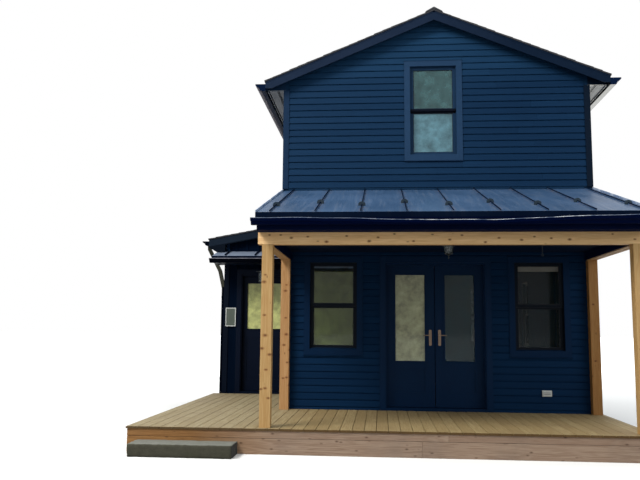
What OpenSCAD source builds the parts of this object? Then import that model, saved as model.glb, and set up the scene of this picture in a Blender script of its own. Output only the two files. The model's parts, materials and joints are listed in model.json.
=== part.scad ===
// Two-storey gabled cabin with a full-width front porch, a lean-to at its left side and an L-shaped deck.
// Units are millimetres. +Z is up, the porch faces -Y, and the origin lies at ground level
// under the middle of the main block.

/* [Main block] */
// width of the main block, over its side walls
main_w = 4620; // [4300:20:5600]
// depth of the main block, front to back
main_d = 6100; // [5400:50:8000]
// thickness of every outside wall
wall_t = 150; // [120:5:200]
// height of the foundation above the ground
foundation_h = 200; // [120:10:300]
// thickness of the foundation walls
foundation_t = 210; // [190:10:300]
// how far the foundation stands back from the wall face
foundation_inset = 20; // [5:5:40]
// side of the piers under the middle of the floor
footing_w = 300; // [200:10:400]
// height of the head of the doors and lower windows above the ground
head_z = 2500; // [2460:10:2600]
// height of the upper floor's top above the ground
upper_floor_z = 3120; // [2950:10:3200]
// thickness of the upper floor
upper_floor_t = 220; // [120:10:260]

/* [Main roof] */
// height of the eave soffits above the ground
soffit_z = 5200; // [5000:5:5500]
// slope of the main roof in degrees
roof_pitch = 22.6; // [18:0.2:32]
// how far the eaves stand out from the side walls
eave_over = 300; // [180:10:450]
// how far the rakes stand out from the gable walls
rake_over = 150; // [80:10:300]
// upright thickness of the rafters and sheathing
roof_t = 70; // [50:5:80]
// upright thickness of the shingles
shingle_t = 18; // [10:1:25]
// how far the shingles stand out past the boards under them
shingle_lip = 12; // [6:1:20]
// height of the eave fascia, from the soffit to the top of the shingles
fascia_h = 112; // [110:2:180]
// upright height of the rake boards
rake_h = 145; // [120:5:200]
// thickness of the fascia, rake and cheek boards
board_t = 20; // [15:1:30]
// thickness of the soffit panels
soffit_t = 10; // [6:1:15]
// half width of the ridge vent cap
ridge_cap_w = 125; // [90:5:180]
// height of the ridge vent cap
ridge_cap_h = 38; // [20:2:60]

/* [Gutters] */
// width of the main gutters at their lips
main_gutter_w = 160; // [110:2:180]
// height of the main gutters
main_gutter_h = 108; // [80:2:120]
// width of the lower gutters at their lips
gutter_w = 122; // [100:2:150]
// height of the lower gutters
gutter_h = 76; // [60:2:100]
// wall thickness of the gutters
gutter_t = 3; // [2:0.5:5]
// drop from the roof edge to the lip of the main and lean-to gutters
gutter_drop = 48; // [30:2:70]

/* [Porch] */
// depth of the porch, from the front wall to the front of its posts
porch_d = 2167; // [1800:10:2600]
// side of the square posts
post_w = 132; // [110:2:160]
// height of the porch beams
beam_h = 145; // [120:5:200]
// height of the underside of the porch beams above the ground
beam_z = 2514; // [2480:2:2600]
// how far the wall posts and side beams stand out past the side walls
post_past = 10; // [0:1:30]
// how far the front posts stand in from the outer faces of the side beams
front_post_in = 37; // [10:1:90]
// how far the front beam's ends stand out past the side beams
beam_end_past = 16; // [0:1:40]
// how far the porch roof's edge stands in front of its posts
porch_eave = 272; // [200:4:340]
// slope of the porch roof in degrees
porch_pitch = 16.68; // [12:0.2:20]
// height of the porch roof's front edge above the ground
porch_edge_z = 2867; // [2840:2:2960]
// how far the porch roof's side edges stand out past the side beams
porch_side_past = 8; // [0:1:40]
// thickness of the porch roof's metal and sheathing
metal_t = 26; // [18:2:40]
// how far the metal roof stands in front of its fascia
metal_lip = 40; // [25:5:60]
// distance between the standing seams
seam_pitch = 546; // [400:2:620]
// distance from the middle of the porch to its middle seam
seam_shift = 29; // [0:1:200]
// height of a standing seam
seam_h = 26; // [18:2:38]
// width of a standing seam
seam_w = 9; // [6:1:14]
// distance of the lower snow guards from the front edge of the porch roof
guard_up = 560; // [400:20:1400]
// how much further up the upper snow guards stand, on every other seam
guard_stagger = 240; // [0:20:500]
// width of a snow guard
guard_w = 92; // [60:2:120]
// how far the porch gutter's ends stand out past the side beams
porch_gutter_past = 56; // [0:2:80]
// drop from the porch roof's front edge to its gutter's lip
porch_gutter_drop = 77; // [50:1:100]
// how far the front fascia's ends stand in from the side beams' outer faces
fascia_end_in = 10; // [0:1:60]
// how far the cheeks over the side beams stand in from the beams' faces
cheek_in = 20; // [20:1:60]
// thickness of the porch ceiling
ceiling_t = 12; // [8:1:20]

/* [Lean-to] */
// width of the lean-to at the left of the main block
leanto_w = 1400; // [1300:10:1800]
// how far the lean-to's front stands behind the main front wall
leanto_back = 2430; // [2000:10:2800]
// slope of the lean-to roof in degrees
leanto_pitch = 10.5; // [6:0.5:14]
// how far the lean-to's eave stands out from its side wall
leanto_eave = 310; // [200:10:400]
// how far the lean-to's rake stands out from its front wall
leanto_rake = 125; // [80:5:250]
// height of the lean-to's soffit above the ground
leanto_soffit_z = 2985; // [2960:5:3100]
// height of the lean-to's eave fascia
leanto_fascia_h = 154; // [130:2:200]
// depth of the pent roof over the side door
pent_d = 500; // [350:10:700]
// height of the pent roof's front edge above the ground
pent_edge_z = 2780; // [2760:5:2820]
// slope of the pent roof in degrees
pent_pitch = 15; // [5:1:16]
// how far the pent roof stands past the lean-to's side wall
pent_past = 160; // [60:10:250]
// distance of the pent roof's first seam from its outer edge
pent_seam = 240; // [100:10:400]
// how far the pent roof's gutter stands past its outer edge
pent_gutter_past = 36; // [0:2:60]
// width of the downspout
spout_w = 62; // [50:2:80]
// height over which the downspout runs in from the eave to the wall
spout_fall = 790; // [500:10:900]
// how far the downspout's bottom end stands above the ground
spout_up = 60; // [20:5:120]

/* [Deck] */
// height of the deck above the ground
deck_h = 300; // [260:5:420]
// thickness of the deck boards
deck_t = 26; // [20:1:40]
// how far the deck stands in front of the porch posts
deck_front = 75; // [40:5:200]
// how far the deck stands past the lean-to's side wall
deck_left = 180; // [60:10:300]
// how far the deck stands past the right side beam
deck_right = 40; // [0:5:100]
// thickness of the skirt boards
skirt_t = 26; // [20:1:40]
// how far the deck boards stand out past the skirt
deck_lip = 14; // [5:1:30]
// distance between deck joists
joist_pitch = 410; // [300:10:610]
// thickness of a deck joist
joist_t = 38; // [30:1:50]
// height of a deck joist
joist_h = 184; // [140:4:220]
// side of a deck pier
pier_w = 200; // [150:10:300]
// length of the stone step
step_l = 1230; // [900:10:1600]
// depth of the stone step
step_d = 362; // [280:2:450]
// height of the stone step
step_h = 150; // [120:5:180]
// how far the stone step stands in from the deck's left end
step_in = 140; // [0:10:600]

/* [Windows] */
// width of a window opening
window_w = 736; // [600:4:900]
// height of the lower window openings
window_h = 1328; // [1000:4:1400]
// height of the opening of the upper gable windows
gable_window_h = 1429; // [1200:4:1500]
// height of the head of the upper gable windows above the ground
gable_head_z = 5554; // [5450:2:5640]
// height of the head of the upper side windows above the ground
side_head_z = 4960; // [4900:10:5050]
// distance of the lower front and back windows from the middle
window_x = 1520; // [1300:10:1650]
// how far the front windows and the door pair stand to the left of the middle
front_shift = 18; // [0:2:60]
// distance of the side windows from the middle
window_y = 1500; // [1200:10:1900]
// face width of the window frames
frame_w = 22; // [15:1:40]
// face width of the sash stiles and rails
sash_w = 45; // [35:1:60]
// height of the meeting rails
meeting_h = 40; // [30:1:55]
// how far the meeting rails lie from the middle of the window
meeting_shift = 12; // [4:1:18]
// thickness of a sash
sash_t = 32; // [26:1:38]
// depth of the upper sash behind the wall face
sash_set = 20; // [10:2:24]
// thickness of the window panes
pane_t = 6; // [4:1:12]
// width of the flat casings and corner boards
casing_w = 89; // [70:1:120]
// how far the casings and corner boards stand out from the wall
casing_t = 25; // [18:1:35]
// how far the casings cover the frames
casing_lap = 15; // [5:1:20]
// height of the raised blind
blind_h = 118; // [80:2:200]
// depth of the blind
blind_d = 34; // [24:1:38]

/* [Doors] */
// width of one leaf of the porch's door pair
leaf_w = 708; // [600:1:800]
// width of the side door's leaf
side_leaf_w = 905; // [760:5:920]
// distance of the side door's leaf from the main block's left wall
side_door_in = 167.5; // [130:0.5:200]
// thickness of the door leaves
leaf_t = 45; // [40:1:56]
// gap around a closed leaf
leaf_gap = 6; // [5.5:0.5:8]
// gap between each leaf and the middle of the pair
meet_gap = 5; // [4.8:0.2:6]
// face width of the door jambs
jamb_w = 32; // [25:1:45]
// height of the door frames' heads
head_t = 44; // [30:1:60]
// height of the thresholds
sill_h = 40; // [25:1:60]
// width of the lite in a leaf of the door pair
lite_w = 436; // [300:2:500]
// distance from the middle of the pair to a lite
lite_x = 151; // [120:1:170]
// height of the lites' lower edge above the ground
lite_z = 1020; // [900:5:1200]
// width of the top rail over the lites
top_rail = 145; // [100:5:180]
// width of the side door's stiles beside its lite
side_stile_w = 74.5; // [70:0.5:150]
// width of the side door's rail between its lite and its panel
side_mid_rail = 144; // [90:2:200]
// height of the side door's lite
side_lite_h = 842; // [700:2:950]
// height of the side door's lite's lower edge above the ground
side_lite_z = 1479; // [1350:5:1550]
// face width of the raised frame around a lite
bead_w = 22; // [12:1:30]
// how far that frame stands out from the leaf
bead_t = 8; // [4:1:12]
// depth of the sunk panels
panel_sink = 10; // [5:1:14]
// width of a handle plate
plate_w = 40; // [30:1:50]
// height of a handle plate
plate_h = 235; // [180:5:280]
// height of the door pair's handle plates' middle above the ground
plate_z = 1366; // [1250:2:1450]
// gap between the side door's handle plate and the frame of its lite
side_plate_gap = 14.5; // [4:0.5:60]
// distance of a handle plate's middle from the leaf's free edge
plate_x = 64; // [50:1:75]
// length of a door lever
lever_l = 105; // [80:5:130]
// radius of the hinge pins
pin_r = 4; // [3:0.5:6]
// radius of the hinge knuckles
knuckle_r = 8; // [7:0.5:11]
// height of the door-side knuckle of a hinge
knuckle_h = 40; // [30:2:60]
// running clearance of the hinge pins
pin_gap = 0.3; // [0.2:0.05:0.6]

/* [Fittings] */
// height of the ceiling lantern's tip above the ground
lantern_tip_z = 2440; // [2380:2:2500]
// distance of the ceiling lantern in front of the wall
lantern_y = 1050; // [600:10:1500]
// distance of the ceiling lantern from the middle of the porch
lantern_x = 95; // [0:5:300]
// radius of the ceiling lantern's cap
lantern_r = 80; // [76:1:110]
// radius of the side lantern's cap
side_lantern_r = 106; // [76:1:130]
// outer radius of the lanterns' glass at the top
glass_r = 68; // [50:1:70]
// height of the side lantern's tip above the ground
side_lantern_z = 2260; // [2220:5:2330]
// distance of the ceiling hook from the middle of the porch
hook_x = 1340; // [1000:10:1700]
// length of the ceiling hook
hook_l = 165; // [100:5:200]
// width of the wall sign by the side door
sign_w = 190; // [140:5:200]
// height of the wall sign
sign_h = 340; // [250:5:420]
// height of the sign's middle above the ground
sign_z = 1690; // [1500:10:1800]
// distance of the sign's middle from the side door's middle
sign_x = 664; // [655:2:670]
// distance of the outlet cover from the middle of the front wall
outlet_x = 1573; // [1500:5:1700]
// height of the outlet cover's middle above the ground
outlet_z = 582; // [560:2:650]

/* [Hidden] */

half_w = main_w / 2;
porch_x = half_w + post_past;
front_y = -main_d / 2;
back_y = main_d / 2;
leanto_x = -half_w - leanto_w;
leanto_y = front_y + leanto_back;
slope = tan(roof_pitch);
leanto_slope = tan(leanto_pitch);
porch_slope = tan(porch_pitch);
pent_slope = tan(pent_pitch);
eave_x = half_w + eave_over;
ridge_z = soffit_z + fascia_h + eave_x * slope;
leanto_eave_x = leanto_x - leanto_eave;
leanto_eave_z = leanto_soffit_z + leanto_fascia_h;
beam_top = beam_z + beam_h;
beam_y = front_y - porch_d;
porch_edge_y = beam_y - porch_eave;
porch_fascia_y = porch_edge_y + metal_lip;
pent_edge_y = leanto_y - pent_d;
pent_fascia_y = pent_edge_y + metal_lip;
pent_x = leanto_x - pent_past;
pent_soffit_z = pent_edge_z - gutter_drop - gutter_h;
pair_open = leaf_w + meet_gap + leaf_gap + jamb_w;
leaf_z = deck_h + sill_h + leaf_gap;
leaf_top = head_z - head_t - leaf_gap;
pair_lite_z1 = leaf_top - top_rail;
side_door_x = side_door_in + side_leaf_w / 2;
side_x = -half_w - side_door_x;
side_lite_w = side_leaf_w - 2 * side_stile_w;
side_open = side_leaf_w / 2 + leaf_gap + jamb_w;
leaf_y = wall_t - leaf_t;
deck_x0 = leanto_x - deck_left;
deck_x1 = porch_x + deck_right;
deck_y = beam_y - deck_front;
// overlap inside a piece
sink = 1;
// overshoot of a cut
small = 40;
// clearance of what stands under or on a sloped roof
roof_gap = 0.2;
// seams on each side of the middle one, then the snow guards' sizes
seam_side = floor((porch_x + porch_side_past - seam_shift - seam_w) / seam_pitch);
guard_h = 54;
guard_t = 6;
guard_d = 58;
clamp_t = 10;
// clearance over the pent roof, and the share of its way in that the downspout has run at its upper bend
end_gap = 4;
spout_bend = 0.74;
// bevel of the step, and how far the window frames stand back from the inside
step_edge = 12;
frame_back = 30;
// the blinds
rail_h = 48;
slat_pitch = 8;
slat_gap = 2;
// hinges, stops, thresholds and panels of the doors
hinge_in = 220;
flap_w = 34;
flap_t = 3;
flap_h = 26;
stop_t = 14;
stop_w = 12;
sill_nose = 22;
sill_fall = 6;
bottom_rail = 210;
mid_rail = 90;
// handles
plate_t = 5;
plate_cut = 8;
plate_edge = 22;
neck_l = 40;
neck_r = 9;
lever_t = 12;
lever_up = 36;
// lanterns and hook
rose_r = 48;
rose_t = 6;
stem_r = 7;
side_cap = 256;
cap_t = 4;
cap_h = 22;
stem_l = 1;
tip_r = 9;
tip_h = 72;
cup_r = 62;
cup_t = 10;
ceiling_rose = beam_top - ceiling_t - lantern_tip_z;
ceiling_cap = ceiling_rose - 2 * rose_t - stem_l - cap_h;
shade_t = 3;
rib_t = 7;
side_lantern_x = 60;
hook_r = 3.5;
hook_ring = 14;
// sign and outlet cover
sign_t = 20;
sign_rim = 16;
outlet_w = 136;
outlet_h = 86;
outlet_t = 30;
outlet_rim = 12;

function roof_top(x) = ridge_z - abs(x) * slope;
function roof_under(x) = roof_top(x) - shingle_t - roof_t;
function roof_seat(x) = roof_under(x) - roof_gap;
function leanto_top(x) = leanto_eave_z + (x - leanto_eave_x) * leanto_slope;
function leanto_under(x) = leanto_top(x) - shingle_t - roof_t;
function leanto_seat(x) = leanto_under(x) - roof_gap;
function porch_top(y) = porch_edge_z + (y - porch_edge_y) * porch_slope;
function porch_under(y) = porch_top(y) - metal_t;
function porch_seat(y) = porch_under(y) - roof_gap;
function pent_top(y) = pent_edge_z + (y - pent_edge_y) * pent_slope;
function pent_under(y) = pent_top(y) - metal_t;
function pent_seat(y) = pent_under(y) - roof_gap;

// Window lists: place along the wall, height of the head, height of the opening.
front_low = [[-front_shift - window_x, head_z, window_h], [window_x - front_shift, head_z, window_h]];
gable_up = [[-front_shift, gable_head_z, gable_window_h]];
right_list = [[-window_y, head_z, window_h], [window_y, head_z, window_h], [0, side_head_z, window_h]];
left_list = [[window_y, side_head_z, window_h]];
leanto_list = [[-(leanto_y + back_y) / 2, head_z, window_h]];

// Basic shapes

module block(x0, x1, y0, y1, z0, z1) {
  translate([x0, y0, z0])
    cube([x1 - x0, y1 - y0, z1 - z0]);
}

// extrudes an XZ outline along Y
module along_y(points, y0, y1) {
  translate([0, y1, 0])
    rotate([90, 0, 0])
      linear_extrude(y1 - y0)
        polygon(points);
}

// extrudes a YZ outline along X
module along_x(points, x0, x1) {
  translate([x0, 0, 0])
    rotate([90, 0, 90])
      linear_extrude(x1 - x0)
        polygon(points);
}

module both_sides() {
  children();
  mirror([1, 0, 0])
    children();
}

// Each of these carries its children from a wall's own frame, X along the wall and Y into it.

module on_front() {
  translate([0, front_y, 0])
    children();
}

module on_door_pair() {
  translate([-front_shift, front_y, 0])
    children();
}

module on_back() {
  translate([0, back_y, 0])
    rotate([0, 0, 180])
      children();
}

module on_left() {
  translate([-half_w, 0, 0])
    rotate([0, 0, -90])
      children();
}

module on_right() {
  translate([half_w, 0, 0])
    rotate([0, 0, 90])
      children();
}

module on_leanto_side() {
  translate([leanto_x, 0, 0])
    rotate([0, 0, -90])
      children();
}

module on_leanto_front() {
  translate([side_x, leanto_y, 0])
    children();
}

module window_cuts(list) {
  for (w = list)
    block(w[0] - window_w / 2, w[0] + window_w / 2, -small, wall_t + small, w[1] - w[2], w[1]);
}

// Structure

module foundation_ring(x0, x1, y0, y1) {
  difference() {
    block(x0, x1, y0, y1, 0, foundation_h);
    block(x0 + foundation_t, x1 - foundation_t, y0 + foundation_t, y1 - foundation_t, -small,
      foundation_h + small);
  }
}

module foundation() {
  color([0.55, 0.55, 0.54])
    union() {
      foundation_ring(-half_w + foundation_inset, half_w - foundation_inset,
        front_y + foundation_inset, back_y - foundation_inset);
      foundation_ring(leanto_x + foundation_inset, -half_w + foundation_inset + foundation_t,
        leanto_y + foundation_inset, back_y - foundation_inset);
      // piers under the middle of the main floor
      for (y = [-main_d / 4, 0, main_d / 4])
        block(-footing_w / 2, footing_w / 2, y - footing_w / 2, y + footing_w / 2, 0, foundation_h);
    }
}

module floors() {
  color([0.60, 0.45, 0.30]) {
    block(-half_w + wall_t, half_w - wall_t, front_y + wall_t, back_y - wall_t, foundation_h, deck_h);
    block(-half_w + wall_t, half_w - wall_t, front_y + wall_t, back_y - wall_t,
      upper_floor_z - upper_floor_t, upper_floor_z);
    block(leanto_x + wall_t, -half_w, leanto_y + wall_t, back_y - wall_t, foundation_h, deck_h);
  }
}

module front_wall_sides() {
  color([0.05, 0.07, 0.11])
    on_front()
      difference() {
        union() {
          block(-half_w, -front_shift - pair_open, 0, wall_t, foundation_h, head_z);
          block(pair_open - front_shift, half_w, 0, wall_t, foundation_h, head_z);
        }
        window_cuts(front_low);
      }
}

module gable_outline(z0) {
  polygon([[-half_w, z0], [half_w, z0], [half_w, roof_seat(half_w)], [0, roof_seat(0)],
    [-half_w, roof_seat(half_w)]]);
}

module gable_wall(z0) {
  translate([0, wall_t, 0])
    rotate([90, 0, 0])
      linear_extrude(wall_t)
        gable_outline(z0);
}

module front_wall_upper() {
  color([0.05, 0.07, 0.11])
    on_front()
      difference() {
        gable_wall(head_z);
        window_cuts(gable_up);
      }
}

module back_wall() {
  color([0.05, 0.07, 0.11])
    on_back()
      difference() {
        gable_wall(foundation_h);
        window_cuts(front_low);
        window_cuts(gable_up);
      }
}

module side_wall_solid() {
  along_y([[half_w - wall_t, foundation_h], [half_w, foundation_h], [half_w, roof_seat(half_w)],
    [half_w - wall_t, roof_seat(half_w - wall_t)]], front_y + wall_t, back_y - wall_t);
}

module right_wall() {
  color([0.05, 0.07, 0.11])
    difference() {
      side_wall_solid();
      on_right()
        window_cuts(right_list);
    }
}

module left_wall() {
  color([0.05, 0.07, 0.11])
    difference() {
      mirror([1, 0, 0])
        side_wall_solid();
      on_left()
        window_cuts(left_list);
    }
}

module leanto_front_sides() {
  color([0.05, 0.07, 0.11])
    on_leanto_front() {
      block(leanto_x - side_x, -side_open, 0, wall_t, foundation_h, head_z);
      block(side_open, side_door_x, 0, wall_t, foundation_h, head_z);
    }
}

module leanto_end(y0, y1, z0) {
  along_y([[leanto_x, z0], [-half_w, z0], [-half_w, leanto_seat(-half_w)], [leanto_x, leanto_seat(leanto_x)]],
    y0, y1);
}

module leanto_front_over() {
  color([0.05, 0.07, 0.11])
    leanto_end(leanto_y, leanto_y + wall_t, head_z);
}

module leanto_back_wall() {
  color([0.05, 0.07, 0.11])
    leanto_end(back_y - wall_t, back_y, foundation_h);
}

module leanto_side_wall() {
  color([0.05, 0.07, 0.11])
    difference() {
      along_y([[leanto_x, foundation_h], [leanto_x + wall_t, foundation_h],
        [leanto_x + wall_t, leanto_seat(leanto_x + wall_t)], [leanto_x, leanto_seat(leanto_x)]],
        leanto_y + wall_t, back_y - wall_t);
      on_leanto_side()
        window_cuts(leanto_list);
    }
}

// Roofs

// a gable band between two drops below the roof surface, out to a half width
module gable_band(x, drop_0, drop_1, y0, y1) {
  z = roof_top(x);
  along_y([[-x, z - drop_0], [0, ridge_z - drop_0], [x, z - drop_0], [x, z - drop_1], [0, ridge_z - drop_1],
    [-x, z - drop_1]], y0, y1);
}

module main_roof() {
  color([0.09, 0.09, 0.10])
    union() {
      gable_band(eave_x + shingle_lip, 0, shingle_t, front_y - rake_over - shingle_lip,
        back_y + rake_over + shingle_lip);
      gable_band(eave_x - board_t, shingle_t - sink, shingle_t + roof_t, front_y - rake_over + board_t,
        back_y + rake_over - board_t);
      along_y([[-ridge_cap_w, roof_top(ridge_cap_w) - sink], [0, ridge_z - sink],
        [ridge_cap_w, roof_top(ridge_cap_w) - sink],
        [ridge_cap_w, roof_top(ridge_cap_w) + ridge_cap_h / 2], [0, ridge_z + ridge_cap_h],
        [-ridge_cap_w, roof_top(ridge_cap_w) + ridge_cap_h / 2]],
        front_y - rake_over - shingle_lip, back_y + rake_over + shingle_lip);
    }
}

module rake_boards() {
  intersection() {
    gable_band(eave_x, shingle_t + roof_gap, shingle_t + rake_h, front_y - rake_over, front_y - rake_over + board_t);
    block(-eave_x - small, eave_x + small, front_y - rake_over - small, front_y, soffit_z - soffit_t, ridge_z);
  }
}

module eave_end() {
  along_y([[half_w, soffit_z], [eave_x - board_t, soffit_z], [eave_x - board_t, roof_seat(eave_x - board_t)],
    [half_w, roof_seat(half_w)]], front_y, front_y + board_t);
}

// a rake board of the lean-to, which also closes the end of its eave down to a height beside the wall
module leanto_rake(y0, low_z) {
  top = shingle_t + roof_gap;
  low = min(low_z, leanto_top(leanto_x) - shingle_t - rake_h);
  along_y([[leanto_eave_x, leanto_top(leanto_eave_x) - top], [-half_w, leanto_top(-half_w) - top],
    [-half_w, leanto_top(-half_w) - shingle_t - rake_h],
    [leanto_x, leanto_top(leanto_x) - shingle_t - rake_h], [leanto_x, low], [leanto_x - pent_past, low],
    [leanto_eave_x, leanto_soffit_z - soffit_t]], y0, y0 + board_t);
}

module rakes() {
  color([0.04, 0.05, 0.08]) {
    rake_boards();
    mirror([0, 1, 0])
      rake_boards();
    leanto_rake(leanto_y - leanto_rake,
      min(leanto_soffit_z - soffit_t, pent_top(leanto_y - leanto_rake + board_t) + end_gap));
    leanto_rake(back_y + leanto_rake - board_t, leanto_soffit_z - soffit_t);
  }
}

module eave_fascias() {
  color([0.04, 0.05, 0.08]) {
    // each main fascia with the closed ends of its eave
    both_sides()
      union() {
        block(eave_x - board_t, eave_x, front_y - rake_over + board_t, back_y + rake_over - board_t,
          soffit_z - soffit_t, roof_top(eave_x) - shingle_t - roof_gap);
        eave_end();
        mirror([0, 1, 0])
          eave_end();
      }
    block(leanto_eave_x, leanto_eave_x + board_t, leanto_y - leanto_rake + board_t,
      back_y + leanto_rake - board_t, leanto_soffit_z - soffit_t,
      leanto_top(leanto_eave_x) - shingle_t - roof_gap);
    // the pent roof's fascia, soffit and outer end
    union() {
      block(pent_x + board_t, -half_w, pent_fascia_y, pent_fascia_y + board_t, pent_soffit_z,
        pent_seat(pent_fascia_y));
      block(pent_x + board_t, -half_w, pent_fascia_y, leanto_y, pent_soffit_z, pent_soffit_z + soffit_t);
      along_x([[pent_fascia_y, pent_soffit_z], [leanto_y, pent_soffit_z], [leanto_y, pent_seat(leanto_y)],
        [pent_fascia_y, pent_seat(pent_fascia_y)]], pent_x + board_t, pent_x + 2 * board_t);
    }
  }
}

module eave_soffits() {
  color([0.62, 0.62, 0.62]) {
    both_sides()
      block(half_w, eave_x - board_t, front_y, back_y, soffit_z - soffit_t, soffit_z);
    block(leanto_eave_x + board_t, leanto_x, leanto_y, back_y, leanto_soffit_z - soffit_t, leanto_soffit_z);
  }
}

module leanto_roof() {
  lip_x = leanto_eave_x - shingle_lip;
  color([0.09, 0.09, 0.10])
    union() {
      along_y([[lip_x, leanto_top(lip_x)], [-half_w, leanto_top(-half_w)],
        [-half_w, leanto_top(-half_w) - shingle_t], [lip_x, leanto_top(lip_x) - shingle_t]],
        leanto_y - leanto_rake - shingle_lip, back_y + leanto_rake + shingle_lip);
      along_y([[leanto_eave_x + board_t, leanto_top(leanto_eave_x + board_t) - shingle_t + sink],
        [-half_w, leanto_top(-half_w) - shingle_t + sink], [-half_w, leanto_under(-half_w)],
        [leanto_eave_x + board_t, leanto_under(leanto_eave_x + board_t)]],
        leanto_y - leanto_rake + board_t, back_y + leanto_rake - board_t);
    }
}

// Gutters

// The outline stands on the fascia at 0, with its lip at the width w and its top at 0.
function gutter_outside(w, h) = [[0, 0], [0, -h], [0.50 * w, -h], [0.57 * w, -0.92 * h], [0.60 * w, -0.74 * h],
  [0.68 * w, -0.56 * h], [0.84 * w, -0.42 * h], [0.95 * w, -0.28 * h], [w, -0.16 * h], [w, 0]];
function gutter_inside(w, h) = [[gutter_t, 1], [gutter_t, gutter_t - h], [0.50 * w - gutter_t, gutter_t - h],
  [0.57 * w - 1.6 * gutter_t, -0.90 * h], [0.60 * w - 1.4 * gutter_t, -0.73 * h],
  [0.68 * w - 1.2 * gutter_t, -0.53 * h], [0.84 * w - gutter_t, -0.38 * h], [0.95 * w - gutter_t, -0.25 * h],
  [w - gutter_t, -0.14 * h], [w - gutter_t, -gutter_t], [w - 4 * gutter_t, -gutter_t], [w - 4 * gutter_t, 1]];

// a gutter along +Y from 0, standing out along +X
module gutter(l, w, h) {
  translate([0, l, 0])
    rotate([90, 0, 0])
      difference() {
        linear_extrude(l)
          polygon(gutter_outside(w, h));
        translate([0, 0, gutter_t])
          linear_extrude(l - 2 * gutter_t)
            polygon(gutter_inside(w, h));
      }
}

// It leaves the lean-to gutter's front end, bends twice on its way in and runs down the corner.
module downspout() {
  y0 = leanto_y + spout_w;
  x0 = leanto_eave_x - spout_w - sink;
  x1 = leanto_x - casing_t - spout_w;
  bend_x = x0 + spout_bend * (x1 - x0);
  z0 = leanto_eave_z - gutter_drop - gutter_h;
  bend_z = z0 - 0.6 * spout_fall;
  along_y([[x0, z0], [x0, z0 - spout_w], [bend_x, bend_z], [x1, z0 - spout_fall], [x1, spout_up],
    [x1 + spout_w, spout_up], [x1 + spout_w, z0 - spout_fall + 0.15 * spout_w],
    [bend_x + spout_w, bend_z + 0.3 * spout_w], [x0 + spout_w, z0 - 0.7 * spout_w], [x0 + spout_w, z0]],
    y0, y0 + spout_w);
}

module gutters() {
  color([0.03, 0.03, 0.04]) {
    both_sides()
      translate([eave_x, front_y - rake_over + board_t, soffit_z + fascia_h - gutter_drop])
        gutter(main_d + 2 * (rake_over - board_t), main_gutter_w, main_gutter_h);
    translate([-porch_x - porch_gutter_past, porch_fascia_y, porch_edge_z - porch_gutter_drop])
      rotate([0, 0, -90])
        gutter(2 * (porch_x + porch_gutter_past), gutter_w, gutter_h);
    translate([leanto_eave_x, leanto_y - leanto_rake, leanto_eave_z - gutter_drop])
      mirror([1, 0, 0])
        gutter(back_y - leanto_y + 2 * leanto_rake, gutter_w, gutter_h);
    translate([pent_x - pent_gutter_past, pent_fascia_y, pent_edge_z - gutter_drop])
      rotate([0, 0, -90])
        gutter(-half_w - pent_x + pent_gutter_past, gutter_w, gutter_h);
    downspout();
  }
}

// Metal roofs

// a sloped sheet over X, between two values of Y, with seams standing on it
module pent_roof() {
  color([0.16, 0.20, 0.27])
    union() {
      along_x([[pent_edge_y, pent_top(pent_edge_y)], [leanto_y, pent_top(leanto_y)],
        [leanto_y, pent_under(leanto_y)], [pent_edge_y, pent_under(pent_edge_y)]], pent_x, -half_w);
      for (x = [pent_x + pent_seam : seam_pitch : -half_w - seam_w])
        along_x([[pent_edge_y, pent_edge_z - sink], [pent_edge_y, pent_edge_z + seam_h],
          [leanto_y, pent_top(leanto_y) + seam_h], [leanto_y, pent_top(leanto_y) - sink]],
          x - seam_w / 2, x + seam_w / 2);
    }
}

module porch_roof() {
  color([0.16, 0.20, 0.27])
    union() {
      along_x([[porch_edge_y, porch_top(porch_edge_y)], [front_y, porch_top(front_y)],
        [front_y, porch_under(front_y)], [porch_edge_y, porch_under(porch_edge_y)]],
        -porch_x - porch_side_past, porch_x + porch_side_past);
      for (i = [-seam_side : seam_side])
        along_x([[porch_edge_y, porch_edge_z - sink], [porch_edge_y, porch_edge_z + seam_h],
          [front_y, porch_top(front_y) + seam_h], [front_y, porch_top(front_y) - sink]],
          seam_shift + i * seam_pitch - seam_w / 2, seam_shift + i * seam_pitch + seam_w / 2);
    }
}

// a clamp over a seam, with an upright plate across the slope
module snow_guard(x, up) {
  y0 = porch_edge_y + up;
  y1 = y0 + guard_d;
  half_seam = seam_w / 2 + roof_gap;
  half_clamp = half_seam + clamp_t;
  translate([0, 0, roof_gap])
    difference() {
      union() {
        along_x([[y0, porch_top(y0)], [y0, porch_top(y0) + seam_h + clamp_t],
          [y1, porch_top(y1) + seam_h + clamp_t], [y1, porch_top(y1)]], x - half_clamp, x + half_clamp);
        translate([x, 0, porch_top(y0 + guard_t)])
          along_y([[-guard_w / 2, 0], [-guard_w / 2, guard_h / 2], [-guard_w * 0.36, guard_h * 0.84],
            [-guard_w * 0.16, guard_h], [guard_w * 0.16, guard_h], [guard_w * 0.36, guard_h * 0.84],
            [guard_w / 2, guard_h / 2], [guard_w / 2, 0]], y0, y0 + guard_t);
      }
      along_x([[y0 - small, porch_top(y0 - small) - small], [y0 - small, porch_top(y0 - small) + seam_h],
        [y1 + small, porch_top(y1 + small) + seam_h], [y1 + small, porch_top(y1 + small) - small]],
        x - half_seam, x + half_seam);
    }
}

// The last seam on the right has none.
module snow_guards() {
  color([0.03, 0.03, 0.04])
    for (i = [-seam_side : seam_side - 1])
      snow_guard(seam_shift + i * seam_pitch, guard_up + (i % 2 == 0 ? 0 : guard_stagger));
}

// Porch

module porch_cheek() {
  x1 = porch_x + board_t - cheek_in;
  along_x([[porch_fascia_y + board_t, beam_top], [front_y, beam_top],
    [front_y, porch_seat(front_y)], [porch_fascia_y + board_t, porch_seat(porch_fascia_y + board_t)]],
    x1 - board_t, x1);
}

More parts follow.
